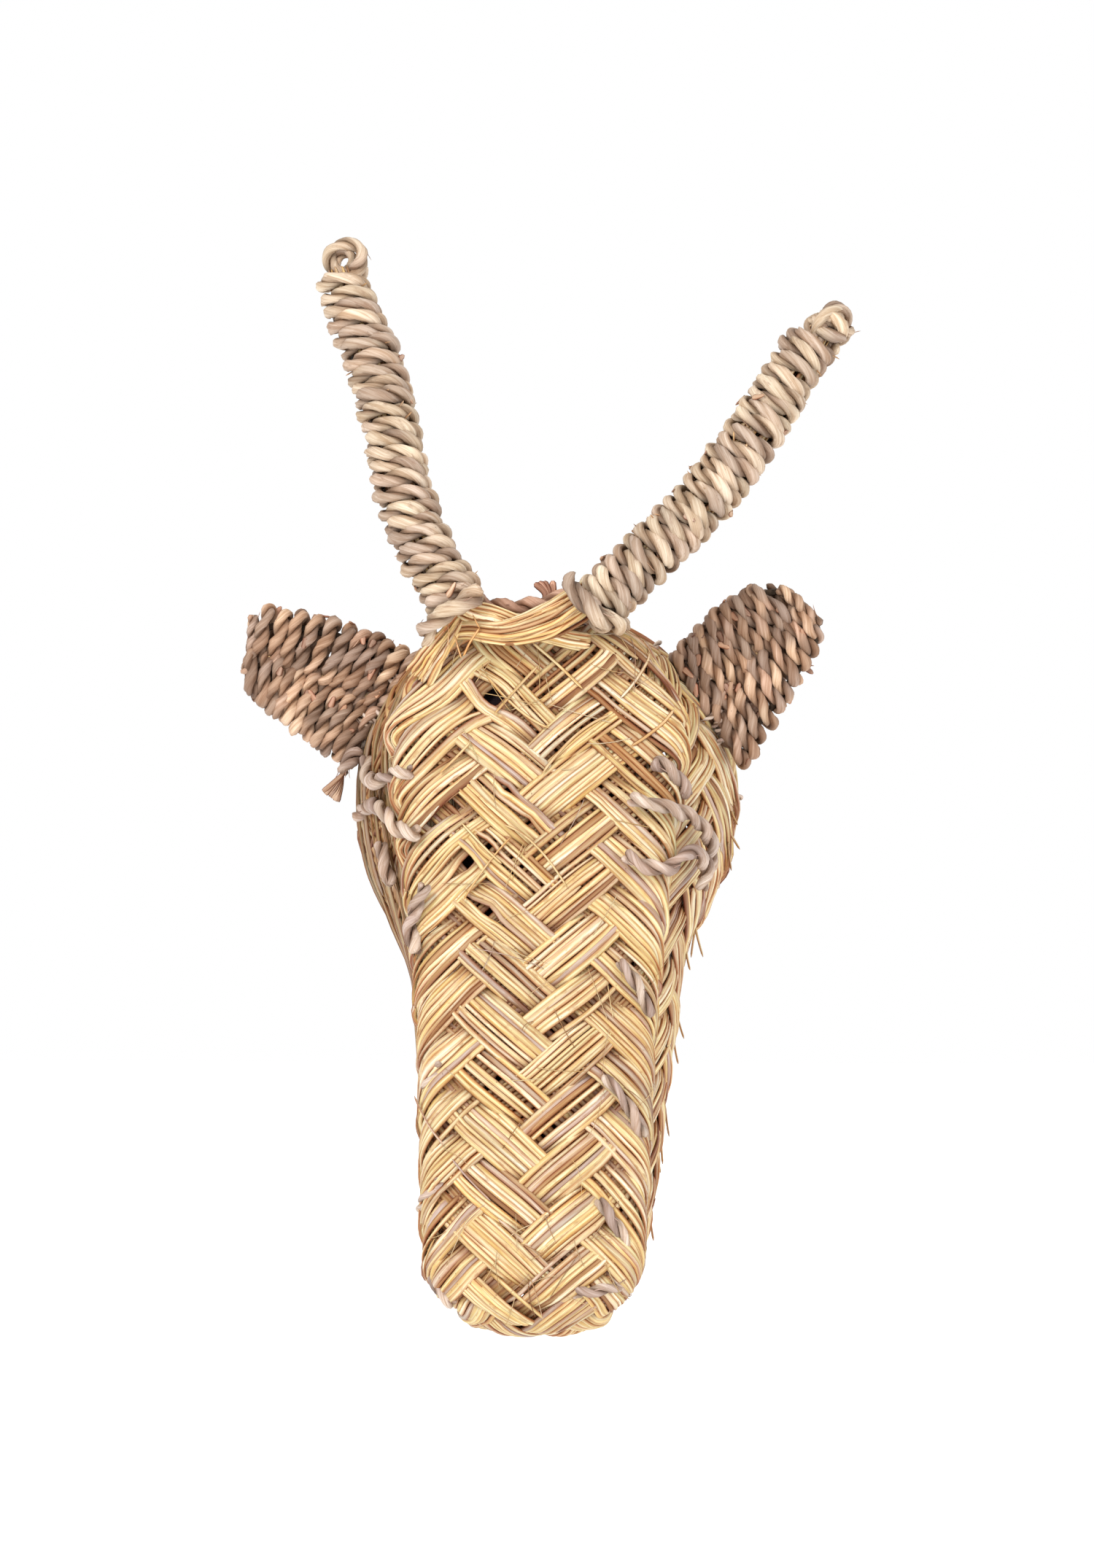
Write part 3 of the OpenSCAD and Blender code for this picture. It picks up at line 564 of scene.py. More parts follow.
def plait_strand(rng, surface, inside, centre, family, xc, shift, half, blades, lift, half_w,
                 half_t, loose, shade, out):
    """One strand of blades side by side. Returns 1 if any of it lies on the band, or else 0."""
    rise = SLOPE * xc
    z = np.arange(rise + TAIL, -rise - TAIL - 0.01, -STEP)
    right = xc - np.sqrt(((z - rise) / SLOPE) ** 2 + BOW ** 2)
    left = -xc + np.sqrt(((z + rise) / SLOPE) ** 2 + BOW ** 2)
    t = smooth((z + rise) / (2 * rise))
    x = (right * t + left * (1 - t)) * family
    edge = np.where(z > 0, z - rise, z + rise)
    turn = np.exp(-(edge / 15) ** 2)
    middle = np.abs(np.sin(np.pi * ((x - shift) * 2 * SLOPE / PITCH) / 2))
    near_edge = smooth((np.abs(x) - 0.74 * half) / (0.16 * half))
    slack = np.ones_like(z) if loose is None else loose(x, z + centre)
    x = x + 0.7 * wander(rng, z, 100)
    zz = z + centre + 0.8 * rng.standard_normal() + (0.6 + 0.6 * slack) * wander(rng, z, 75)
    tx, tz = np.gradient(x), np.gradient(z)
    ln = np.hypot(tx, tz)
    nx, nz = -tz / ln * family, tx / ln * family
    squeeze = (1 - 0.42 * turn) * (1 - 0.07 * (1 - middle) * (1 - near_edge))
    squeeze *= 1 - 0.08 * slack * np.clip(0.6 + 0.6 * wander(rng, z, 60), 0, 1.4)
    width = PITCH * math.cos(THETA)
    count = blades + int(rng.integers(-1, 2))
    cuts = np.cumsum(0.75 + 0.5 * rng.random(count))
    place = (cuts - cuts[0] / 2 - (cuts[-1] / 2)) / cuts[-1] * 1.07
    at = np.arange(len(z))
    made = 0
    for i in range(count):
        if rng.random() < 0.035 * slack.mean():
            continue
        off = (place[i] * width * squeeze + 0.3 * wander(rng, z, 70) * slack
               + 0.2 * rng.standard_normal())
        if rng.random() < 0.05 * slack.mean():
            off = off + 2.6 * np.sin(z / (22 + 20 * rng.random()) + 6 * rng.random())
        bx, bz = x + nx * off, zz + nz * off
        phase = (bx - nx * off - shift) * 2 * SLOPE / PITCH - family * off / width
        over = np.tanh(2.3 * np.sin(np.pi * phase / 2)) / math.tanh(2.3) * family
        over = over * (1 - near_edge) + np.tanh(edge / 5.0) * near_edge
        stack = ((i % 2) - 0.5) * 1.6 * turn + (0.25 + 0.15 * slack) * wander(rng, z, 50)
        stack = stack + (1.2 + 2.2 * rng.random()) * turn * np.clip(slack - 0.5, 0, 1)
        crown = 1.25 * (1 - (2 * place[i]) ** 2) * (0.35 + 0.65 * middle)
        height = lift * over + stack + crown - 0.6
        if loose is not None:
            bx, bz = push_apart(bx, bz, nx, nz)
        keep = inside(bx, bz)
        kind = rng.random()
        hw = half_w * (1 + 0.1 * rng.standard_normal())
        ht = half_t * (1 + 0.08 * rng.standard_normal())
        hw *= 9.3 / count
        if kind < 0.05:
            hw, ht = hw * 1.6, ht * 0.6
        elif kind < 0.2:
            hw, ht = hw * 0.72, ht * 0.8
        if rng.random() < 0.05:      # a broken blade, whose end lifts off
            stop = int(rng.integers(12, len(z) - 8))
            keep = keep & ((at < stop) if rng.random() < 0.5 else (at > stop))
            height = height + 1.6 * np.exp(-np.abs(at - stop) / 3.0)
        runs = np.flatnonzero(np.diff(np.concatenate([[0], keep.astype(int), [0]])))
        tint = blade_tint(rng, shade)
        creased = rng.random() < 0.35
        for a, b in zip(runs[::2], runs[1::2]):
            if b - a < 5:
                continue
            run = z[a:b]
            pos, nrm = surface(bx[a:b], bz[a:b])
            path = pos + nrm * (height[a:b] - lift - half_t + 0.2)[:, None]
            roll = 0.3 * wander(rng, run, 70) + 0.9 * turn[a:b] * rng.standard_normal()
            side, up = rolled(*lying(path, nrm), (roll - family * 0.45 * place[i])[:, None])
            w = hw * (1 + 0.1 * wander(rng, run, 45)) * (1 - 0.12 * turn[a:b])
            h = ht * (1 + 0.08 * wander(rng, run, 35))
            shape = None
            if creased:
                shape = np.ones((b - a, 8))
                shape[:, int(rng.integers(1, 4))] = 0.72 + 0.1 * wander(rng, run, 50)
            # painted shade: a blade is darker and browner where its strand dives under the crossing
            # one
            under_shade = 1 - 0.47 * smooth((0.3 - over[a:b]) / 1.2) * (1 - near_edge[a:b])
            tone = tint[None] * under_shade[:, None] ** np.array([1.0, 1.5, 1.85])
            out.tube(rng, path, side, up, np.clip(w, 0.35, 3), h, tone, 8, shape, (0.5, 0.5))
            made = 1
    return made


def face_inside(x, z):
    return (z < 2) & (z > -FACE_L - 2)


def face_loose(x, z):
    """The plait is slackest at the top left, and a little slack down the whole left edge."""
    return (0.3 + 1.1 * np.exp(-((x + 36) / 30) ** 2 - ((z + 80) / 60) ** 2)
            + 0.9 * np.exp(-((x + 58) / 18) ** 2))


plait("face_plait", "face_braid", face_at, face_inside, -FACE_L, 4, 9, 1.65, 1.34, 0.9,
      face_loose, 2, 11, 1.0)


def lay_blade(rng, out, surface, x, z, height, half_w, half_t, tint, ends=(0.4, 0.4), sides=6):
    """One blade laid on a surface along plait coordinates."""
    pos, nrm = surface(x, z)
    path = pos + nrm * np.broadcast_to(height, x.shape)[:, None]
    side, up = rolled(*lying(path, nrm), 0.6 * rng.standard_normal())
    out.tube(rng, path, side, up, half_w, half_t, tint, sides, None, ends)


def crosses_gap(x, z):
    """Whether a blade behind the face would close one of its openings."""
    return any(np.hypot(x - gap_x, z - gap_z).min() < size + 1.5 for gap_x, gap_z, size in GAPS)


def face_lining():
    """The turned-in ends of the plait, which run steeply behind its two edges and at the top."""
    rng = np.random.default_rng(15)
    for side, sign in (("left", -1), ("right", 1)):
        out = Strands()
        t = np.linspace(0, 1, 16)
        for _ in range(74):
            length = 50 + 60 * rng.random()
            z = -4 - (FACE_L - 30 - length) * rng.random() - length * t
            x = sign * (36 + 27 * rng.random()) + sign * 14 * (rng.random() - 0.5) * (t - 0.5) * 2
            x = x + 1.5 * wander(rng, z, 60)
            # painted shade: the lining's blades are darkened, as they lie behind the plait
            lay_blade(rng, out, face_at, x, z, -6.2 - 1.6 * rng.random(), 1.1, 0.7,
                      blade_tint(rng, 0.72))
        out.make(f"face_lining_{side}", "face_braid")
    out = Strands()
    # painted shade: the shade column darkens these blades, which lie behind the plait
    # blades, points, length, top, left end, slant, depth, half width and shade, at the top left
    # and then right across the top
    for (count, points, length, more, top, fall, x0, wide, slant, lean, depth, thin, half_w,
         shade) in ((26, 14, 40, 50, -8, 60, -52, 40, 16, 0.3, -7.4, 1.6, 1.1, 0.66),
                    (110, 12, 30, 40, -3, 70, -46, 92, 14, 0.5, -6.4, 1.4, 1.2, 0.6)):
        t = np.linspace(0, 1, points)
        for _ in range(count):
            long = length + more * rng.random()
            z = top - fall * rng.random() - long * t
            x = x0 + wide * rng.random() + slant * (rng.random() - lean) * t
            if not crosses_gap(x, z):
                lay_blade(rng, out, face_at, x, z, depth - thin * rng.random(), half_w, 0.7,
                          blade_tint(rng, shade))
    out.make("face_lining_top", "face_braid")


def face_strays():
    """Blades that have sprung out of the plait, splinters, and hair-thin fibres."""
    rng = np.random.default_rng(16)
    out = Strands()
    t = np.linspace(-0.5, 0.5, 14)
    for _ in range(13):
        length = 14 + 26 * rng.random()
        x0, z0 = -58 + 112 * rng.random(), -14 - (FACE_L - 70) * rng.random()
        a = math.atan((1 if rng.random() < 0.6 else -1) * (0.7 + 0.7 * rng.random()))
        x = x0 + length * t * math.cos(a)
        z = z0 + length * t * math.sin(a) + 9 * rng.standard_normal() * t ** 2
        lift = 0.6 + 2.0 * rng.random() * np.abs(2 * t) ** 2
        lay_blade(rng, out, face_at, x, z, lift, 0.45 + 0.4 * rng.random(), 0.35, blade_tint(rng),
                  (0.1, 0.3))
    t = np.linspace(0, 1, 10)
    for _ in range(90):
        length = 8 + 20 * rng.random()
        x0, z0 = -62 + 122 * rng.random(), -6 - (FACE_L - 60) * rng.random()
        a = rng.random() * 2 * np.pi
        x = x0 + length * t * math.cos(a) + 3 * rng.standard_normal() * t ** 2
        z = z0 + length * t * math.sin(a) + 3 * rng.standard_normal() * t ** 2
        lay_blade(rng, out, face_at, x, z, 0.4 + 2.4 * rng.random() * t, 0.2, 0.14,
                  blade_tint(rng), (0.8, 0.3), 4)
    out.make("face_stray_fibres", "face_braid")


def band_lining(name, surface, node, seed, spikes):
    """The second layer of a side band, and blade ends that stick out past its back edge."""
    rng = np.random.default_rng(seed)
    out = Strands()
    long, half = surface.s[-1], 30
    t = np.linspace(0, 1, 14)
    for _ in range(60):
        length = 40 + 50 * rng.random()
        z = -2 - (long - 6 - length) * rng.random() - length * t
        x = (2 * rng.random() - 1) * half + 16 * (rng.random() - 0.5) * t
        # painted shade: the second layer's blades are darkened, as they lie behind the band
        lay_blade(rng, out, surface, np.clip(x, -half, half), z, -4.2 - 1.2 * rng.random(), 1.1,
                  0.7, blade_tint(rng, 0.62))
    t = np.linspace(0, 1, 9)
    for _ in range(spikes):
        z = -20 - (long - 60) * rng.random() - 10 * t
        pos, nrm = surface(half * (0.8 + 0.2 * t), z)
        stray = [np.sign(pos[0, 0]) * (1 + 5 * rng.random()), 0, 7 * rng.random() - 5]
        along = unit(pos[-1] - pos[0] + np.array(stray))
        path = pos[0] + nrm[0] * 0.6 + along * (6 + 9 * rng.random()) * t[:, None]
        path = path + nrm * (0.8 * t ** 2)[:, None]
        sd, nm = frames(path, nrm[0])
        out.tube(rng, path, sd, nm, np.linspace(0.9, 0.3, 9), 0.5, blade_tint(rng, 0.9), 6, None,
                 (0.6, 0.3))
    out.make(name, node)


def band(name, node, sheet, lift, half_w, half_t, group, seed, shade):
    plait(name, node, sheet, sheet.inside, -sheet.s[-1], 2, 8, lift, half_w, half_t, None, group,
          seed, shade)


face_lining()
face_strays()
# painted light: the side bands' blades are lightened, the left band's more, to lift how dim it
# looks at a grazing angle
for side, sign, spikes, shade in (("right", 1, 13, 1.06), ("left", -1, 8, 1.14)):
    sheet = Sheet(side_grid(sign), 34.0, 21.0, flip=sign < 0)
    node = f"{side}_side_braid"
    band(f"{side}_side_plait", node, sheet, 1.5, 1.34, 0.85, 3, 23 + sign, shade)
    band_lining(f"{side}_side_lining", sheet, node, 25 + sign, spikes)


# ---- Ropes ----------------------------------------------------------------------------------
def rope(rng, path, radius, lay, tints, out, frays=0, sides=12, outward=(0, -1, 0)):
    """Two plies of twisted leaf along a path. Each ply is a folded leaf, so its section is
    creased, its colour changes about once in each turn of the lay, and it swells on the rope's
    outer side."""
    s = run_of(path)
    side, normal = frames(path, np.array([0, -1, 0.2]))
    local = np.broadcast_to(lay, s.shape) * (1 + 0.14 * wander(rng, s, 60))
    turns = np.concatenate([[0], np.cumsum(np.diff(s) / local[1:])])
    phase = rng.random() * 2 * np.pi + 2 * np.pi * turns
    fat = radius * (1 + 0.11 * wander(rng, s, 30))
    outward = np.broadcast_to(outward, path.shape)
    for ply in range(2):
        a = phase + ply * np.pi
        out_dir = side * np.cos(a)[:, None] + normal * np.sin(a)[:, None]
        round_dir = normal * np.cos(a)[:, None] - side * np.sin(a)[:, None]
        shown = np.sum(out_dir * outward, 1)
        centre = path + out_dir * (0.5 * fat)[:, None]
        k = 2 * np.pi * np.arange(sides) / sides
        fold = np.ones((len(path), sides))
        for order, size in ((2, 0.06), (3, 0.08), (5, 0.05)):
            turn = rng.random() * 6 + 0.9 * wander(rng, s, 26)
            fold += size * np.sin(order * k[None] + turn[:, None])
        for _ in range(2):
            start = int(rng.integers(sides))
            notch = (start + np.round(1.5 * wander(rng, s, 44)).astype(int)) % sides
            fold[np.arange(len(path)), notch] *= 0.8
        w = fat * 0.68 * (1 + 0.13 * wander(rng, s, 15)) * (1 + 0.2 * shown)
        h = fat * 0.55 * (1 + 0.16 * shown)
        knots = np.arange(int(turns[-1]) + 3)
        colours = np.array([pick(rng, tints, 0.08) for _ in knots])
        at = turns + rng.random()
        blend = smooth((at - np.floor(at) - 0.35) / 0.3)[:, None]
        low = np.floor(at).astype(int)
        tint = colours[low] * (1 - blend) + colours[low + 1] * blend
        # painted shade: a ply is darker where it turns away to the rope's hidden side
        tint = tint * (1 - 0.3 * smooth((0.25 - shown) / 1.0))[:, None]
        out.tube(rng, centre, round_dir, out_dir, w, h, tint, sides, fold, (0.5, 0.5),
                 ply_inner_shade)
    for _ in range(frays):
        fray(rng, path, side, normal, radius, pick(rng, tints), out)


def resample_with(path, extra, step):
    """Even steps along a path, with a second row of vectors carried along."""
    s = run_of(path)
    at = np.linspace(0, s[-1], max(int(round(s[-1] / step)), 2) + 1)
    both = np.hstack([path, extra])
    both = np.stack([np.interp(at, s, both[:, k]) for k in range(6)], 1)
    return both[:, :3], unit(both[:, 3:])


def fray(rng, path, side, normal, radius, tint, out):
    """A short loose fibre that stands off the rope."""
    i = rng.integers(2, len(path) - 2)
    a = rng.random() * 2 * np.pi
    away = side[i] * math.cos(a) + normal[i] * math.sin(a)
    along = unit(path[i + 1] - path[i])
    t = np.linspace(0, 1, 6)[:, None]
    line = (path[i] + away * radius * 0.8 + along * t * (3 + 4 * rng.random())
            + away * t ** 2 * 2.5 * rng.random())
    sd, nm = frames(line, away)
    out.tube(rng, line, sd, nm, 0.22, 0.14, tint, 4, None, (0.8, 0.2))


def leaf_ends(rng, path, away, tints, count, out):
    """Short ends and folds of leaf that stand a little off the turns."""
    for _ in range(count):
        i = int(rng.integers(6, len(path) - 8))
        along = unit(path[i + 2] - path[i])
        across = np.cross(away[i], along)
        lean = 0.5 * rng.standard_normal()
        heading = along * math.cos(lean) + across * math.sin(lean)
        t = np.linspace(0, 1, 7)[:, None]
        line = (path[i] + away[i] * (2.7 + (0.3 + 1.5 * rng.random()) * t ** 2)
                + heading * t * (4 + 4 * rng.random()) + across * rng.standard_normal())
        side, up = lying(line, away[i])
        out.tube(rng, line, side, up, np.linspace(1.7, 0.9, 7), 0.4, pick(rng, tints, 0.1), 6,
                 None, (0.5, 0.4))


# ---- Horns ----------------------------------------------------------------------------------
CORE_R = 7.2
LEFT_HORN = [(-89, -57, 158), (-83, -61, 140), (-72, -67, 114), (-65, -73, 88), (-60, -78, 62),
             (-50, -82, 37), (-39, -84, 19)]
RIGHT_HORN = [(120, -58, 130), (108, -64, 112), (92, -70, 86), (74, -75, 61), (52, -80, 38),
              (33, -84, 20)]


def horn_core(name, line, seed):
    """The straw in a horn: blades side by side round the wire."""
    rng = np.random.default_rng(seed)
    body = Strands()
    horn = curve(line, 4)
    sd, nm = frames(horn, np.array([0, -1, 0.0]))
    for i in range(20):
        a = 2 * np.pi * i / 20 + 0.1 * rng.standard_normal()
        s = run_of(horn)
        r = (CORE_R - 0.9) * (1 - 0.12 * np.exp(-s / 30))
        path = horn + r[:, None] * (sd * math.cos(a) + nm * math.sin(a))
        path[0] -= unit(path[1] - path[0]) * rng.random() * 3.0
        t = tangents(path)
        out_dir = sd * math.cos(a) + nm * math.sin(a)
        body.tube(rng, path, np.cross(out_dir, t), out_dir, 1.15, 0.8, blade_tint(rng), 6)
    body.make(f"{name}_core_straw", f"{name}_core")


horn_core("left_horn", LEFT_HORN, 31)
horn_core("right_horn", RIGHT_HORN, 32)


CROWN_LIGHT = np.array([1.04, 1.11, 1.15])


def sheaf(name, line, half_widths, blades, seed, node, depth=2.3, twist=0.5):
    """Blades side by side in a hammock: a flat bunch that widens and narrows along a line."""
    rng = np.random.default_rng(seed)
    out = Strands()
    path = curve(line, 2.2)
    s = run_of(path) / run_of(path)[-1]
    t = tangents(path)
    front = np.array([0, -1, 0.0])
    across = unit(np.cross(np.broadcast_to(front, t.shape), t))
    wide = np.interp(s, np.linspace(0, 1, len(half_widths)), half_widths)
    for i in range(blades):
        ring = i % 3
        o = (2 * (i + 0.5) / blades - 1) + 0.05 * rng.standard_normal()
        shift = o + twist * (s - 0.5) * (0.5 if ring else -0.4) + 0.05 * wander(rng, s, 0.5)
        shift = np.clip(shift, -1.1, 1.1)
        height = depth * np.sqrt(np.clip(1 - shift ** 2 * 0.8, 0, 1)) - 1.2 * (ring == 2)
        height = height + 0.4 * wander(rng, s, 0.5) + 0.55 * rng.standard_normal()
        blade = path + across * (shift * wide)[:, None] + front * height[:, None]
        side, up = lying(blade, unit(front + across * (0.8 * shift)[:, None]))
        half_w = 1 + 0.15 * rng.standard_normal()
        family = CREAM if rng.random() < 0.93 else BROWN
        out.tube(rng, blade, side, up, half_w, 0.95, pick(rng, family, 0.1) * CROWN_LIGHT, 8)
    out.make(name, node)


# the left horn's blades dive under the right horn's blades, which hang in front like a hammock
sheaf("crown_bunch_left", [(-37, -84, 14), (-30, -87, 9.5), (-20, -88, 7), (-10, -86, 3.5),
                           (2, -83, 0.5), (13, -79, -2.5), (22, -75, -4)],
      (4, 4.5, 4, 3.5, 3.5), 16, 33, "left_horn_core")
sheaf("crown_bunch_right", [(-39, -80, 1), (-30, -86, 2.0), (-21, -88.5, 0.5), (-11, -90, 0.3),
                            (0, -90.5, 3.2), (9, -90, 7.2), (17, -88.5, 12), (25, -86, 18)],
      (2.8, 3.6, 4.6, 6.2, 7.0, 6.8, 6), 21, 34, "right_horn_core", 3.2, 0.9)
sheaf("left_horn_foot", [(-33, -85, 8), (-39, -87, -1), (-46, -84, -10), (-53, -79, -20)],
      (2.5, 4.5, 6.0), 9, 35, "left_horn_core", 1.2)


def crown_splinters():
    rng = np.random.default_rng(36)
    out = Strands()
    for line, w in (([(-25, -94, 2), (-29, -95, -4), (-32, -94, -10)], 0.55),
                    ([(-28, -95, 8), (-26, -96, 4), (-25, -94.5, 2)], 0.35),
                    ([(-36, -92, -1), (-34.5, -94, -6), (-33, -93, -11)], 0.4),
                    ([(-40, -88, 5), (-38.5, -94, 1), (-39, -92, -6)], 0.3),
                    ([(-12, -94, 5.5), (0, -95, 9), (12, -94, 14.5)], 0.3),
                    ([(-9, -94, 4), (4, -96, 9.5), (14, -93, 15)], 0.25)):
        path = curve(line, 1.2)
        sd, nm = frames(path, np.array([0, -1, 0.0]))
        out.tube(rng, path, sd, nm, w, w * 0.5, srgb("F6E2B6"), 5, None, (0.2, 0.4))
    out.make("crown_splinters", "right_horn_core")


crown_splinters()


def horn_wrap(name, line, foot, seed, start, lean):
    """One rope wound unevenly round the horn from its tip to its base, and on to the crown."""
    rng = np.random.default_rng(seed)
    horn = curve(list(line) + foot, 1.0)
    s = run_of(horn)
    sd, nm = frames(horn, np.array([0, -1, 0.0]))
    pitch = 6.3
    turns = (s[-1] - start) / pitch
    a = np.arange(0, turns * 2 * np.pi, 1.6 / 10)
    t = a / (2 * np.pi)
    at = (start + t * pitch + 0.75 * wander(rng, t, 5) + lean * 1.3 * np.sin(a + 1.0)
          + 0.5 * wander(rng, a, 9))
    at = np.clip(at, 0.3, s[-1] + 0.5)
    uneven = 0.4 * wander(rng, t, 2.6) + 0.3 * wander(rng, a, 11)
    r = 9.75 + uneven - 1.5 * np.exp(-at / 26)
    r = r - 2.2 * smooth((at - s[-1] + 11) / 11)

    def on(q):
        return np.stack([np.interp(at, s, q[:, k]) for k in range(3)], 1)
    away = on(sd) * np.cos(a)[:, None] - on(nm) * np.sin(a)[:, None]
    path, away = resample_with(on(horn) + r[:, None] * away, away, 1.4)
    lay = np.interp(run_of(path) / run_of(path)[-1], [0, 0.45, 1], [42, 34, 25])
    out = Strands()
    rope(rng, path, 3.5, lay, ROPE_TINTS, out, frays=22, outward=away)
    leaf_ends(rng, path, away, ROPE_TINTS, 12, out)
    for _ in range(16):
        where = int(rng.integers(4, len(horn) - 12))
        b = rng.random() * 2 * np.pi
        away = sd[where] * math.cos(b) + nm[where] * math.sin(b)
        line_out = horn[where] + away * np.linspace(9, 12.5 + 2.5 * rng.random(), 5)[:, None]
        along = unit(horn[where + 1] - horn[where])
        line_out += along * (rng.random() - 0.5) * 6 * np.linspace(0, 1, 5)[:, None]
        sx, sn = frames(line_out, along)
        out.tube(rng, line_out, sx, sn, 0.5, 0.3, pick(rng, CREAM), 5, None, (1, 0.3))
    out.make(f"{name}_wrap_rope", f"{name}_wrap", "horn_rope")


horn_wrap("left_horn", LEFT_HORN, [(-34.5, -85.5, 12), (-31, -86.5, 9)], 41, 0.6, 1)
horn_wrap("right_horn", RIGHT_HORN, [(25, -86, 11), (20, -87, 9)], 42, 0.6, -1)

LOOP_R, KNOT_R = 5.2, 7


def loop_and_knot():
    rng = np.random.default_rng(51)
    tip = np.array(LEFT_HORN[0], float)
    t = np.linspace(0, 1, 90)
    a = np.radians(215 - 655 * t)
    r = LOOP_R - 1.0 + 3.0 * smooth((t - 0.3) / 0.35)
    x = tip[0] + 1.2 + 1.4 * t + r * np.cos(a)
    z = tip[2] + 5.6 + 2.0 * t + 0.95 * r * np.sin(a)
    y = tip[1] + 2.5 - 6.0 * t
    out = Strands()
    rope(rng, resample(np.stack([x, y, z], 1), 1.2), 3.0, 30, ROPE_TINTS, out, frays=4)
    out.make("left_horn_loop_rope", "left_horn_loop", "horn_rope")

    tip, below = np.array(RIGHT_HORN[0], float), np.array(RIGHT_HORN[1], float)
    away = unit(tip - below)
    centre = tip + away * KNOT_R + np.array([1.8, 0, -1.8])
    u = unit(np.cross(away, np.array([0, 1, 0.0])))
    w = np.cross(away, u)
    out = Strands()
    ball = []
    for turn, tilt, spin in ((0, 0.1, 0.3), (1, 1.25, 1.1), (2, 0.75, 2.6), (3, 1.5, 4.2)):
        b = np.linspace(0, 2 * np.pi, 40)
        r = KNOT_R + 0.3 + 0.35 * turn
        x, y = np.cos(b), np.sin(b) * math.cos(tilt)
        z = np.sin(b) * math.sin(tilt) + 0.12 * np.sin(b)
        c, d = math.cos(spin), math.sin(spin)
        x, y = x * c - y * d, x * d + y * c
        ball.append(centre + r * (x[:, None] * u + y[:, None] * w + z[:, None] * away))
    ball.append(centre + 0.55 * (ball[1] - centre))
    for ring in ball:
        rope(rng, resample(ring, 1.3), 3.3, 30, ROPE_TINTS, out, frays=2)
    out.make("right_horn_knot_rope", "right_horn_knot", "horn_rope")


loop_and_knot()

LEFT_LASHING = [(-24, -94, 17), (-32, -98, 13), (-41, -98, 7), (-48, -90, 2.5), (-47, -78, -4),
                (-42, -69, -8)]
RIGHT_LASHING = [(13, -91, 24), (17.5, -96, 17), (24, -98, 10), (30, -95, 5.5),
                 (34, -86, 4), (36, -74, 3)]
HORN_TIE = [(-26, -76, 14), (-18, -79, 12.2), (-8, -80, 11.8), (2, -80, 13),
            (11, -79, 16), (18, -76, 19)]
SEWN = {
    "right_eye_cord": [
        [(40, -92, -72), (50, -95, -74), (60, -89, -77), (69, -76, -82), (74, -62, -92),
         (73, -56, -104)],
        [(38, -97, -96), (47, -97, -101), (57, -91, -102), (66, -80, -95), (72, -66, -101),
         (70, -62, -112)],
        [(50, -84, -55), (60, -82, -62), (65, -76, -71)]],
    "left_eye_cord": [
        [(-55, -84, -60), (-66, -76, -62), (-74, -62, -65), (-78, -49, -61), (-79, -40, -54)],
        [(-51, -92, -87), (-61, -86, -85), (-68, -76, -78), (-74, -58, -75), (-78, -43, -76),
         (-84, -31, -79)],
        [(-70, -68, -91), (-69, -70, -99), (-65, -72, -110)],
        [(-48, -98, -109), (-52, -95, -118), (-55, -92, -128), (-52, -95, -139)]],
    "right_seam_stitches": [
        [(36, -101, -142), (44, -103, -152), (50, -100, -166)],
        [(30, -108, -191), (40, -110, -203), (47, -107, -218)],
        [(28, -116, -244), (36, -118, -255), (42, -114, -266)]],
    "left_seam_stitches": [
        [(-40, -104, -186), (-48, -100, -198), (-50, -90, -204)],
        [(-40, -113, -236), (-48, -108, -246), (-49, -98, -250)]],
    "muzzle_stitches": [
        [(17, -119, -284), (28, -122, -283), (40, -116, -280), (44, -106, -272)],
        [(-44, -106, -274), (-42, -115, -282), (-34, -117, -290)]],
    "loose_cord_end": [[(-82, -34, -52), (-86, -36, -54), (-89, -37, -58), (-90, -38, -61)]],
    "horn_tie": [HORN_TIE],
    "left_horn_lashing": [LEFT_LASHING],
    "right_horn_lashing": [RIGHT_LASHING],
}


def frayed_leaf(rng, out, points, half_w, half_t, tint, end):
    leaf = curve(points, 1)
    side, up = frames(leaf, np.array([0, -1, 0.0]))
    half_w = np.linspace(*half_w, len(leaf))
    out.tube(rng, leaf, side, up, half_w, half_t, tint, 6, None, (1, end))


def fray_cord_end(rng, out):
    """The fan of leaf at the end of the loose cord."""
    for k in range(7):
        b = k / 3 - 1
        points = [(-88.5, -39.5, -56), (-90, -40, -61), (-92.4 + 1.6 * b, -40 + b, -66 - b),
                  (-95.5 + 3.2 * b, -39, -71 - 2.4 * b - rng.random())]
        frayed_leaf(rng, out, points, (0.9, 1.2), 0.3, 0.9 * pick(rng, ROPE_TINTS), 0.8)


def fray_horn_tie(rng, out):
    """The tuft on the rope between the horns."""
    for _ in range(9):
        b = rng.random() * 2 - 1
        points = [(3 + b, -78, 14 + b), (5 + 3 * b, -79, 17.5),
                  (4 + 7 * b, -79 + b, 21 + 2 * rng.random())]
        frayed_leaf(rng, out, points, (1.5, 1.5), 0.35, pick(rng, TIE_TINTS), 0.4)


FRAYED = {"loose_cord_end": fray_cord_end, "horn_tie": fray_horn_tie}
for index, (node, routes) in enumerate(SEWN.items()):
    rng = np.random.default_rng(60 + index)
    out = Strands()
    lashing = "lashing" in node
    thick = 4.3 if lashing else 2.6 if "stitches" in node else 3.3
    family = ROPE_TINTS if lashing else TIE_TINTS if node == "horn_tie" else CORD_TINTS
    for route in routes:
        line = curve(route, 1.2) + np.array([0, -2.4, 0])
        rope(rng, line, thick, 32 if lashing else 24, family, out, frays=4)
    if node in FRAYED:
        FRAYED[node](rng, out)
    out.make(f"{node}_rope", node, "horn_rope" if lashing else "sewing_cord")


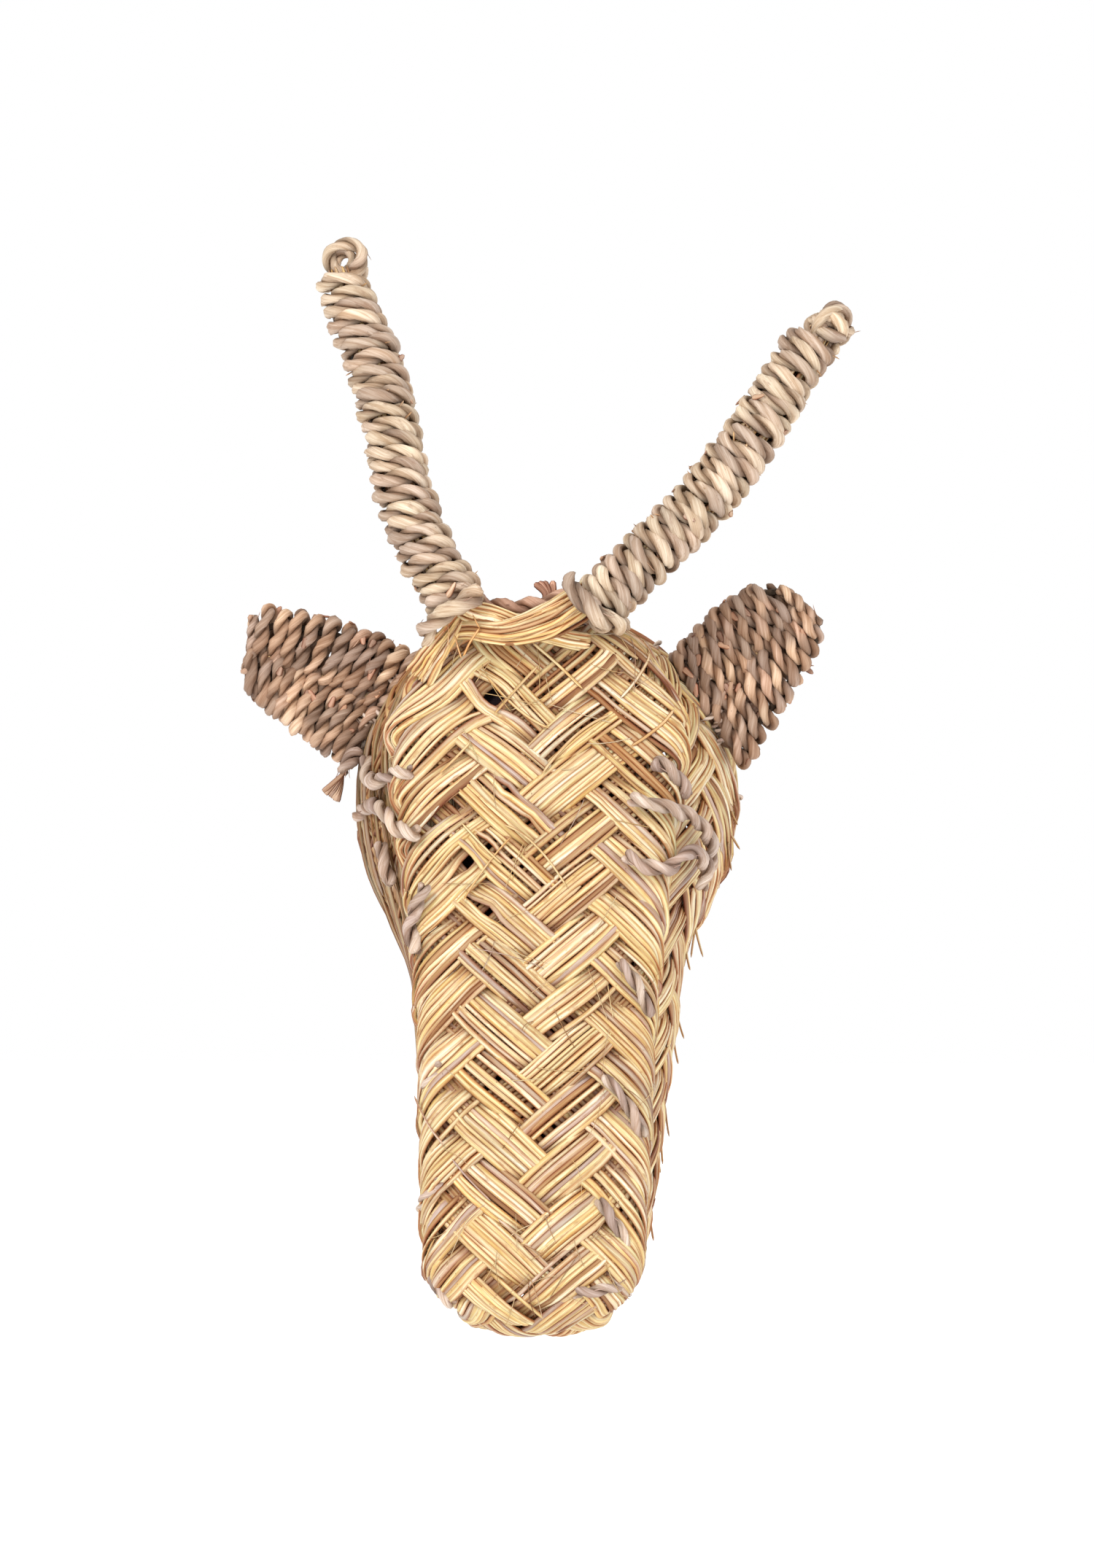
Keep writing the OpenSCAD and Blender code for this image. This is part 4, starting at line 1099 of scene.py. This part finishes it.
# ---- Ears -----------------------------------------------------------------------------------
HINGE_MID = np.array([71.5, -28, -30])
HINGE_A = math.radians(-59.5)
HINGE_L, HINGE_D, TIE_D = 46, 4, 2.4
EARS = {"left": (66, math.radians(-9), -1), "right": (61, math.radians(16), 1)}
EAR_BASE_W, EAR_TIP_W = 22, 12.5
TIE_AT, ANCHOR_AT, ANCHOR_L, EAR_START = (-12.6, -9.6, 9.6, 12.6), (-17, -5.5, 5.5, 17), 6, 6.6


def ear_place(local, lean, sign):
    """From the ear's own axes (out from the hinge, along it, through the ear) to the frame."""
    x, y, z = local[..., 0], local[..., 1], local[..., 2]
    a = -(math.pi / 2 + HINGE_A) - lean
    px = x * math.cos(a) + y * math.sin(a)
    pz = -x * math.sin(a) + y * math.cos(a)
    return np.stack([sign * (HINGE_MID[0] + px), HINGE_MID[1] - z, HINGE_MID[2] + pz], -1)


# how far the turns slant, and how far they reach past the frame above and below, from base to tip
EAR_AT = (0, 0.2, 0.55, 0.8, 1)
EAR_TILT = {"left": (-0.16, -0.12, -0.04, 0.18, 0.42), "right": (0.29, 0.25, 0.12, 0.0, -0.1)}
EAR_ABOVE = {"left": (2.0, 1.6, 1.2, 1.2, 0.8), "right": (1.5, 1.5, 1.5, 1.0, 0.2)}
EAR_BELOW = {"left": (0, 0, 0, 0, -1.0), "right": (0, -1.5, -2.0, -3.0, -4.5)}


def ear_wrap(side):
    """Rope woven in figures of eight over the frame's two legs, from the base to the tip."""
    length, lean, sign = EARS[side]
    rng = np.random.default_rng(71 + sign)
    pitch = 6.0
    first, last = -3.4, length - 3.0
    turns = (last - first) / pitch
    a = np.arange(0, turns * 2 * np.pi, 0.045)
    t = a / (2 * np.pi)
    x = first + t * pitch + 0.6 * wander(rng, t, 3.3) + 0.55 * wander(rng, a, 5)
    half = EAR_BASE_W + (EAR_TIP_W - 1.0 - EAR_BASE_W) * np.clip(x / length, 0, 1) ** 2
    reach = half + 4.2 + 0.7 * wander(rng, t, 1.7)
    above, below, tilt = (np.interp(x / length, EAR_AT, q[side])
                          for q in (EAR_ABOVE, EAR_BELOW, EAR_TILT))
    y = (reach + np.where(np.sin(a) > 0, above, below)) * np.sin(a)
    z = -4.1 * np.tanh(1.9 * np.sin(2 * a)) / math.tanh(1.9)
    # the turns near the base sit a little lower on the hinge
    y = y - (4.5 if sign < 0 else 3.0) * np.clip(1 - x / 40, 0, 1.1)
    x = x + tilt * y + (0.8 if sign < 0 else -1.2)
    path = ear_place(np.stack([x, y, z], -1), lean, sign)
    away = ear_place(np.stack([0 * x, 0.6 * np.sin(a), 0.8 * z / 4.1], -1), lean, sign)
    away = away - ear_place(np.zeros(3), lean, sign)
    path, away = resample_with(path, away, 1.3)
    out = Strands()
    rope(rng, path, 3.15, 22, EAR_TINTS, out, frays=20, outward=away)
    leaf_ends(rng, path, away, EAR_TINTS, 30, out)
    low, high, round_off, slope = (-11, 15, 0.0, 0.36) if sign < 0 else (-12, 13, 0.008, 0.0)
    tip_y = np.linspace(low, high, 20)
    slope = np.where(tip_y > 0, slope, 0.25 * slope)
    for front in (1.8, -1.8):
        tip_x = length - 1.8 - round_off * tip_y ** 2 + slope * tip_y
        tip = np.stack([tip_x, tip_y, np.full(20, front)], -1)
        rope(rng, resample(ear_place(tip, lean, sign), 1.3), 2.6, 16, EAR_TINTS, out, frays=2)
    # the wrapping's own leaf tails lie between its front and back turns, and close the base
    along_hinge = ear_place(np.array([0, 1.0, 0]), lean, sign) - ear_place(np.zeros(3), lean, sign)
    flat = np.broadcast_to(along_hinge, (8, 3))
    for i in range(13):
        tail_y = np.full(8, -21 + 38 * (i + 0.5) / 13 + 0.5 * rng.standard_normal())
        tail = np.stack([np.linspace(-3, 16, 8), tail_y, np.zeros(8)], -1)
        tail = ear_place(tail, lean, sign)
        # painted shade: the tails are darkened, as they lie between the turns
        out.tube(rng, tail, flat, np.cross(tangents(tail), flat), 1.9, 0.35,
                 0.75 * pick(rng, EAR_TINTS), 6, None, (0.6, 0.5))
    out.make(f"{side}_ear_wrap_rope", f"{side}_ear_wrap", "ear_rope", f"{side}_ear")


def long_loop(centre_x, y, half_l, sign):
    """A cord loop round the hinge cord, long in X."""
    r = HINGE_D / 2 + TIE_D / 2 + 0.2
    a = np.linspace(0, 2 * np.pi, 40)
    x = centre_x + r * np.cos(a) + half_l * np.tanh(3 * np.cos(a))
    return ear_place(np.stack([x, np.full_like(x, y), r * np.sin(a)], -1), 0, sign)


def ear_cords(side):
    sign = EARS[side][2]
    rng = np.random.default_rng(81 + sign)
    cord, anchors, ties = Strands(), Strands(), Strands()
    line = np.zeros((24, 3))
    line[:, 1] = np.linspace(-HINGE_L / 2, HINGE_L / 2, 24)
    rope(rng, resample(ear_place(line, 0, sign), 1.2), HINGE_D / 2, 16, CORD_TINTS, cord)
    reach = (EAR_START + 1.5 - HINGE_D / 2) / 2
    for places, centre, half_l, out in ((ANCHOR_AT, -ANCHOR_L, ANCHOR_L, anchors),
                                        (TIE_AT, reach, reach, ties)):
        for y in places:
            loop = resample(long_loop(centre, y, half_l, sign), 1.2)
            rope(rng, loop, TIE_D / 2, 12, CORD_TINTS, out, sides=8)
    cord.make(f"{side}_ear_hinge_rope", f"{side}_ear_hinge_cord", "sewing_cord")
    anchors.make(f"{side}_ear_anchor_loops", f"{side}_ear_anchors", "sewing_cord")
    ties.make(f"{side}_ear_tie_loops", f"{side}_ear_ties", "sewing_cord", f"{side}_ear")


for side in EARS:
    ear_wrap(side)
    ear_cords(side)


# ---- Jaw, crown, rim ------------------------------------------------------------------------
def mix(a, b, t):
    return a * (1 - t) + b * t


def jaw_grid():
    s = np.linspace(0, 1, 24)[:, None]
    u = np.linspace(-1, 1, 11)[None]
    return np.stack([mix(55, 37, s) * u, mix(-13, -72, s) - 4 * np.sin(np.pi * s) * u * u,
                     mix(-148, -287, s) + 18 * (1 - s) * u * u], -1)


def crown_grid():
    s = np.linspace(0, 1, 12)[:, None]
    u = np.linspace(-1, 1, 11)[None]
    return np.stack([mix(47, 54, s) * u, mix(-62.6, -11.6, s) + 0 * u,
                     mix(8 - 14 * u * u, 8.5 - 24 * u * u, s)], -1)


for name, grid, half_w, group, seed, shade in (("jaw", jaw_grid(), 1.3, 3, 91, 0.88),
                                               ("crown", crown_grid(), 1.5, 4, 92, 0.9)):
    band(f"{name}_plait", f"{name}_braid", Sheet(grid[:, ::-1], 34.0), 1.1, half_w, 0.8, group,
         seed, shade)


def ring_point(a, r, y):
    return np.stack([r * np.sin(a), np.full_like(a, 1.0) * y, r * np.cos(a)], -1) + RIM_C


def neck_rim():
    """A roll of grass: blades that spiral round the ring, bound by the sewing loops."""
    rng = np.random.default_rng(95)
    out = Strands()
    for i in range(34):
        start = rng.random() * 2 * np.pi
        length = 2 * np.pi * (1.02 if i < 17 else 0.5 + 0.4 * rng.random())
        a = start + np.linspace(0, length, int(RIM_R * length / 4))
        turn = 2 * np.pi * i / 17 + (a - start) * 2.0 + 0.12 * wander(rng, a, 1.2)
        deep = 5.2 if i < 17 else 4.6
        radial, y = deep * np.cos(turn), np.minimum(deep * np.sin(turn), 4.2)
        path = ring_point(a, RIM_R + radial, 0) + np.stack([0 * a, y, 0 * a], -1)
        c = np.cos(turn)
        out_dir = unit(np.stack([c * np.sin(a), np.sin(turn), c * np.cos(a)], -1))
        side, up = lying(path, out_dir)
        out.tube(rng, path, side, up, 1.25, 0.85, blade_tint(rng, 0.9), 8)
    out.make("neck_rim_roll", "neck_rim")
    loops = Strands()
    for degrees in (35, 62, 90, 118, 148, 212, 242, 270, 298, 325):
        a = math.radians(degrees)
        out_dir = np.array([math.sin(a), 0, math.cos(a)])
        c = RIM_C + RIM_R * out_dir
        b = np.radians(np.linspace(-32, 212, 36))
        path = c + 6.7 * (np.cos(b)[:, None] * out_dir - np.sin(b)[:, None] * np.array([0, 1, 0]))
        path[:, 1] = np.minimum(path[:, 1], RIM_C[1] + 3.6)
        rope(rng, resample(path, 1.2), 1.25, 12, CORD_TINTS, loops, sides=8, outward=out_dir)
    loops.make("rim_stitch_loops", "rim_stitches", "sewing_cord")


neck_rim()

BAG = [(-9, -58, -30, 22), (-14, -68, -24, 36), (-30, -76, -21, 46), (-60, -81, -20, 51),
       (-95, -86, -20, 50), (-125, -92, -23, 46), (-160, -98, -30, 40), (-200, -105, -45, 35),
       (-240, -111, -62, 32), (-268, -115, -76, 28), (-283, -114, -88, 20)]


def stuffing():
    """The cloth bag inside the head, with soft folds. It is near-black, so the gaps in the weave
    show dark.
    """
    rows = np.array(BAG, float)
    v = np.linspace(0, len(rows) - 1, 90)
    z, y0, y1, w = (np.interp(v, np.arange(len(rows)), rows[:, k]) for k in range(4))
    k = np.linspace(0, 2 * np.pi, 96, endpoint=False)
    s = (1 - np.sin(k)) / 2
    x = w[:, None] * np.cos(k)[None]
    y = y0[:, None] * s[None] + y1[:, None] * (1 - s[None])
    z = z + 7 * np.exp((z + 9) / 10)
    zz = np.broadcast_to(z[:, None], x.shape)
    fold = sum(np.sin(f * k[None] + g * z[:, None] / 30 + p) / f for f, g, p in
               ((3, 2, 1.0), (5, -3, 2.0), (9, 4, 0.5), (14, -5, 3.0)))
    scale = 1.02 - 0.03 * fold
    cy = (y0 + y1)[:, None] / 2
    co = np.stack([x * scale, cy + (y - cy) * scale, zz], -1).reshape(-1, 3)
    n, m = len(v), len(k)
    faces = [[i * m + j, i * m + (j + 1) % m, (i + 1) * m + (j + 1) % m, (i + 1) * m + j]
             for i in range(n - 1) for j in range(m)]
    faces += [list(range(m))[::-1], [(n - 1) * m + j for j in range(m)]]
    mesh = bpy.data.meshes.new("stuffing_bag")
    mesh.from_pydata((co * MM).tolist(), [], faces)
    mesh.polygons.foreach_set("use_smooth", np.ones(len(mesh.polygons), bool))
    mesh.materials.append(cloth_material())
    bag = bpy.data.objects.new("stuffing_bag", mesh)
    bpy.context.scene.collection.objects.link(bag)
    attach(bag, "head")
    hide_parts("stuffing")


stuffing()

# ---- CAD pieces that stay -------------------------------------------------------------------
steel, cane = wire_material(), cane_material()
for node in ("left_horn_wire", "right_horn_wire", "left_ear_frame", "right_ear_frame"):
    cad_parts[node].data.materials.clear()
    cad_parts[node].data.materials.append(steel)
for node in ("left_ear_rib", "right_ear_rib"):
    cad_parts[node].data.materials.clear()
    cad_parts[node].data.materials.append(cane)

# ---- Floor ----------------------------------------------------------------------------------
FLOOR_Z = -0.42
floor_mesh = bpy.data.meshes.new("floor")
floor_mesh.from_pydata([(-6, -6, FLOOR_Z), (6, -6, FLOOR_Z), (6, 6, FLOOR_Z), (-6, 6, FLOOR_Z)], [],
                       [(0, 1, 2, 3)])
floor_mesh.materials.append(floor_material())
floor = bpy.data.objects.new("floor", floor_mesh)
bpy.context.scene.collection.objects.link(floor)
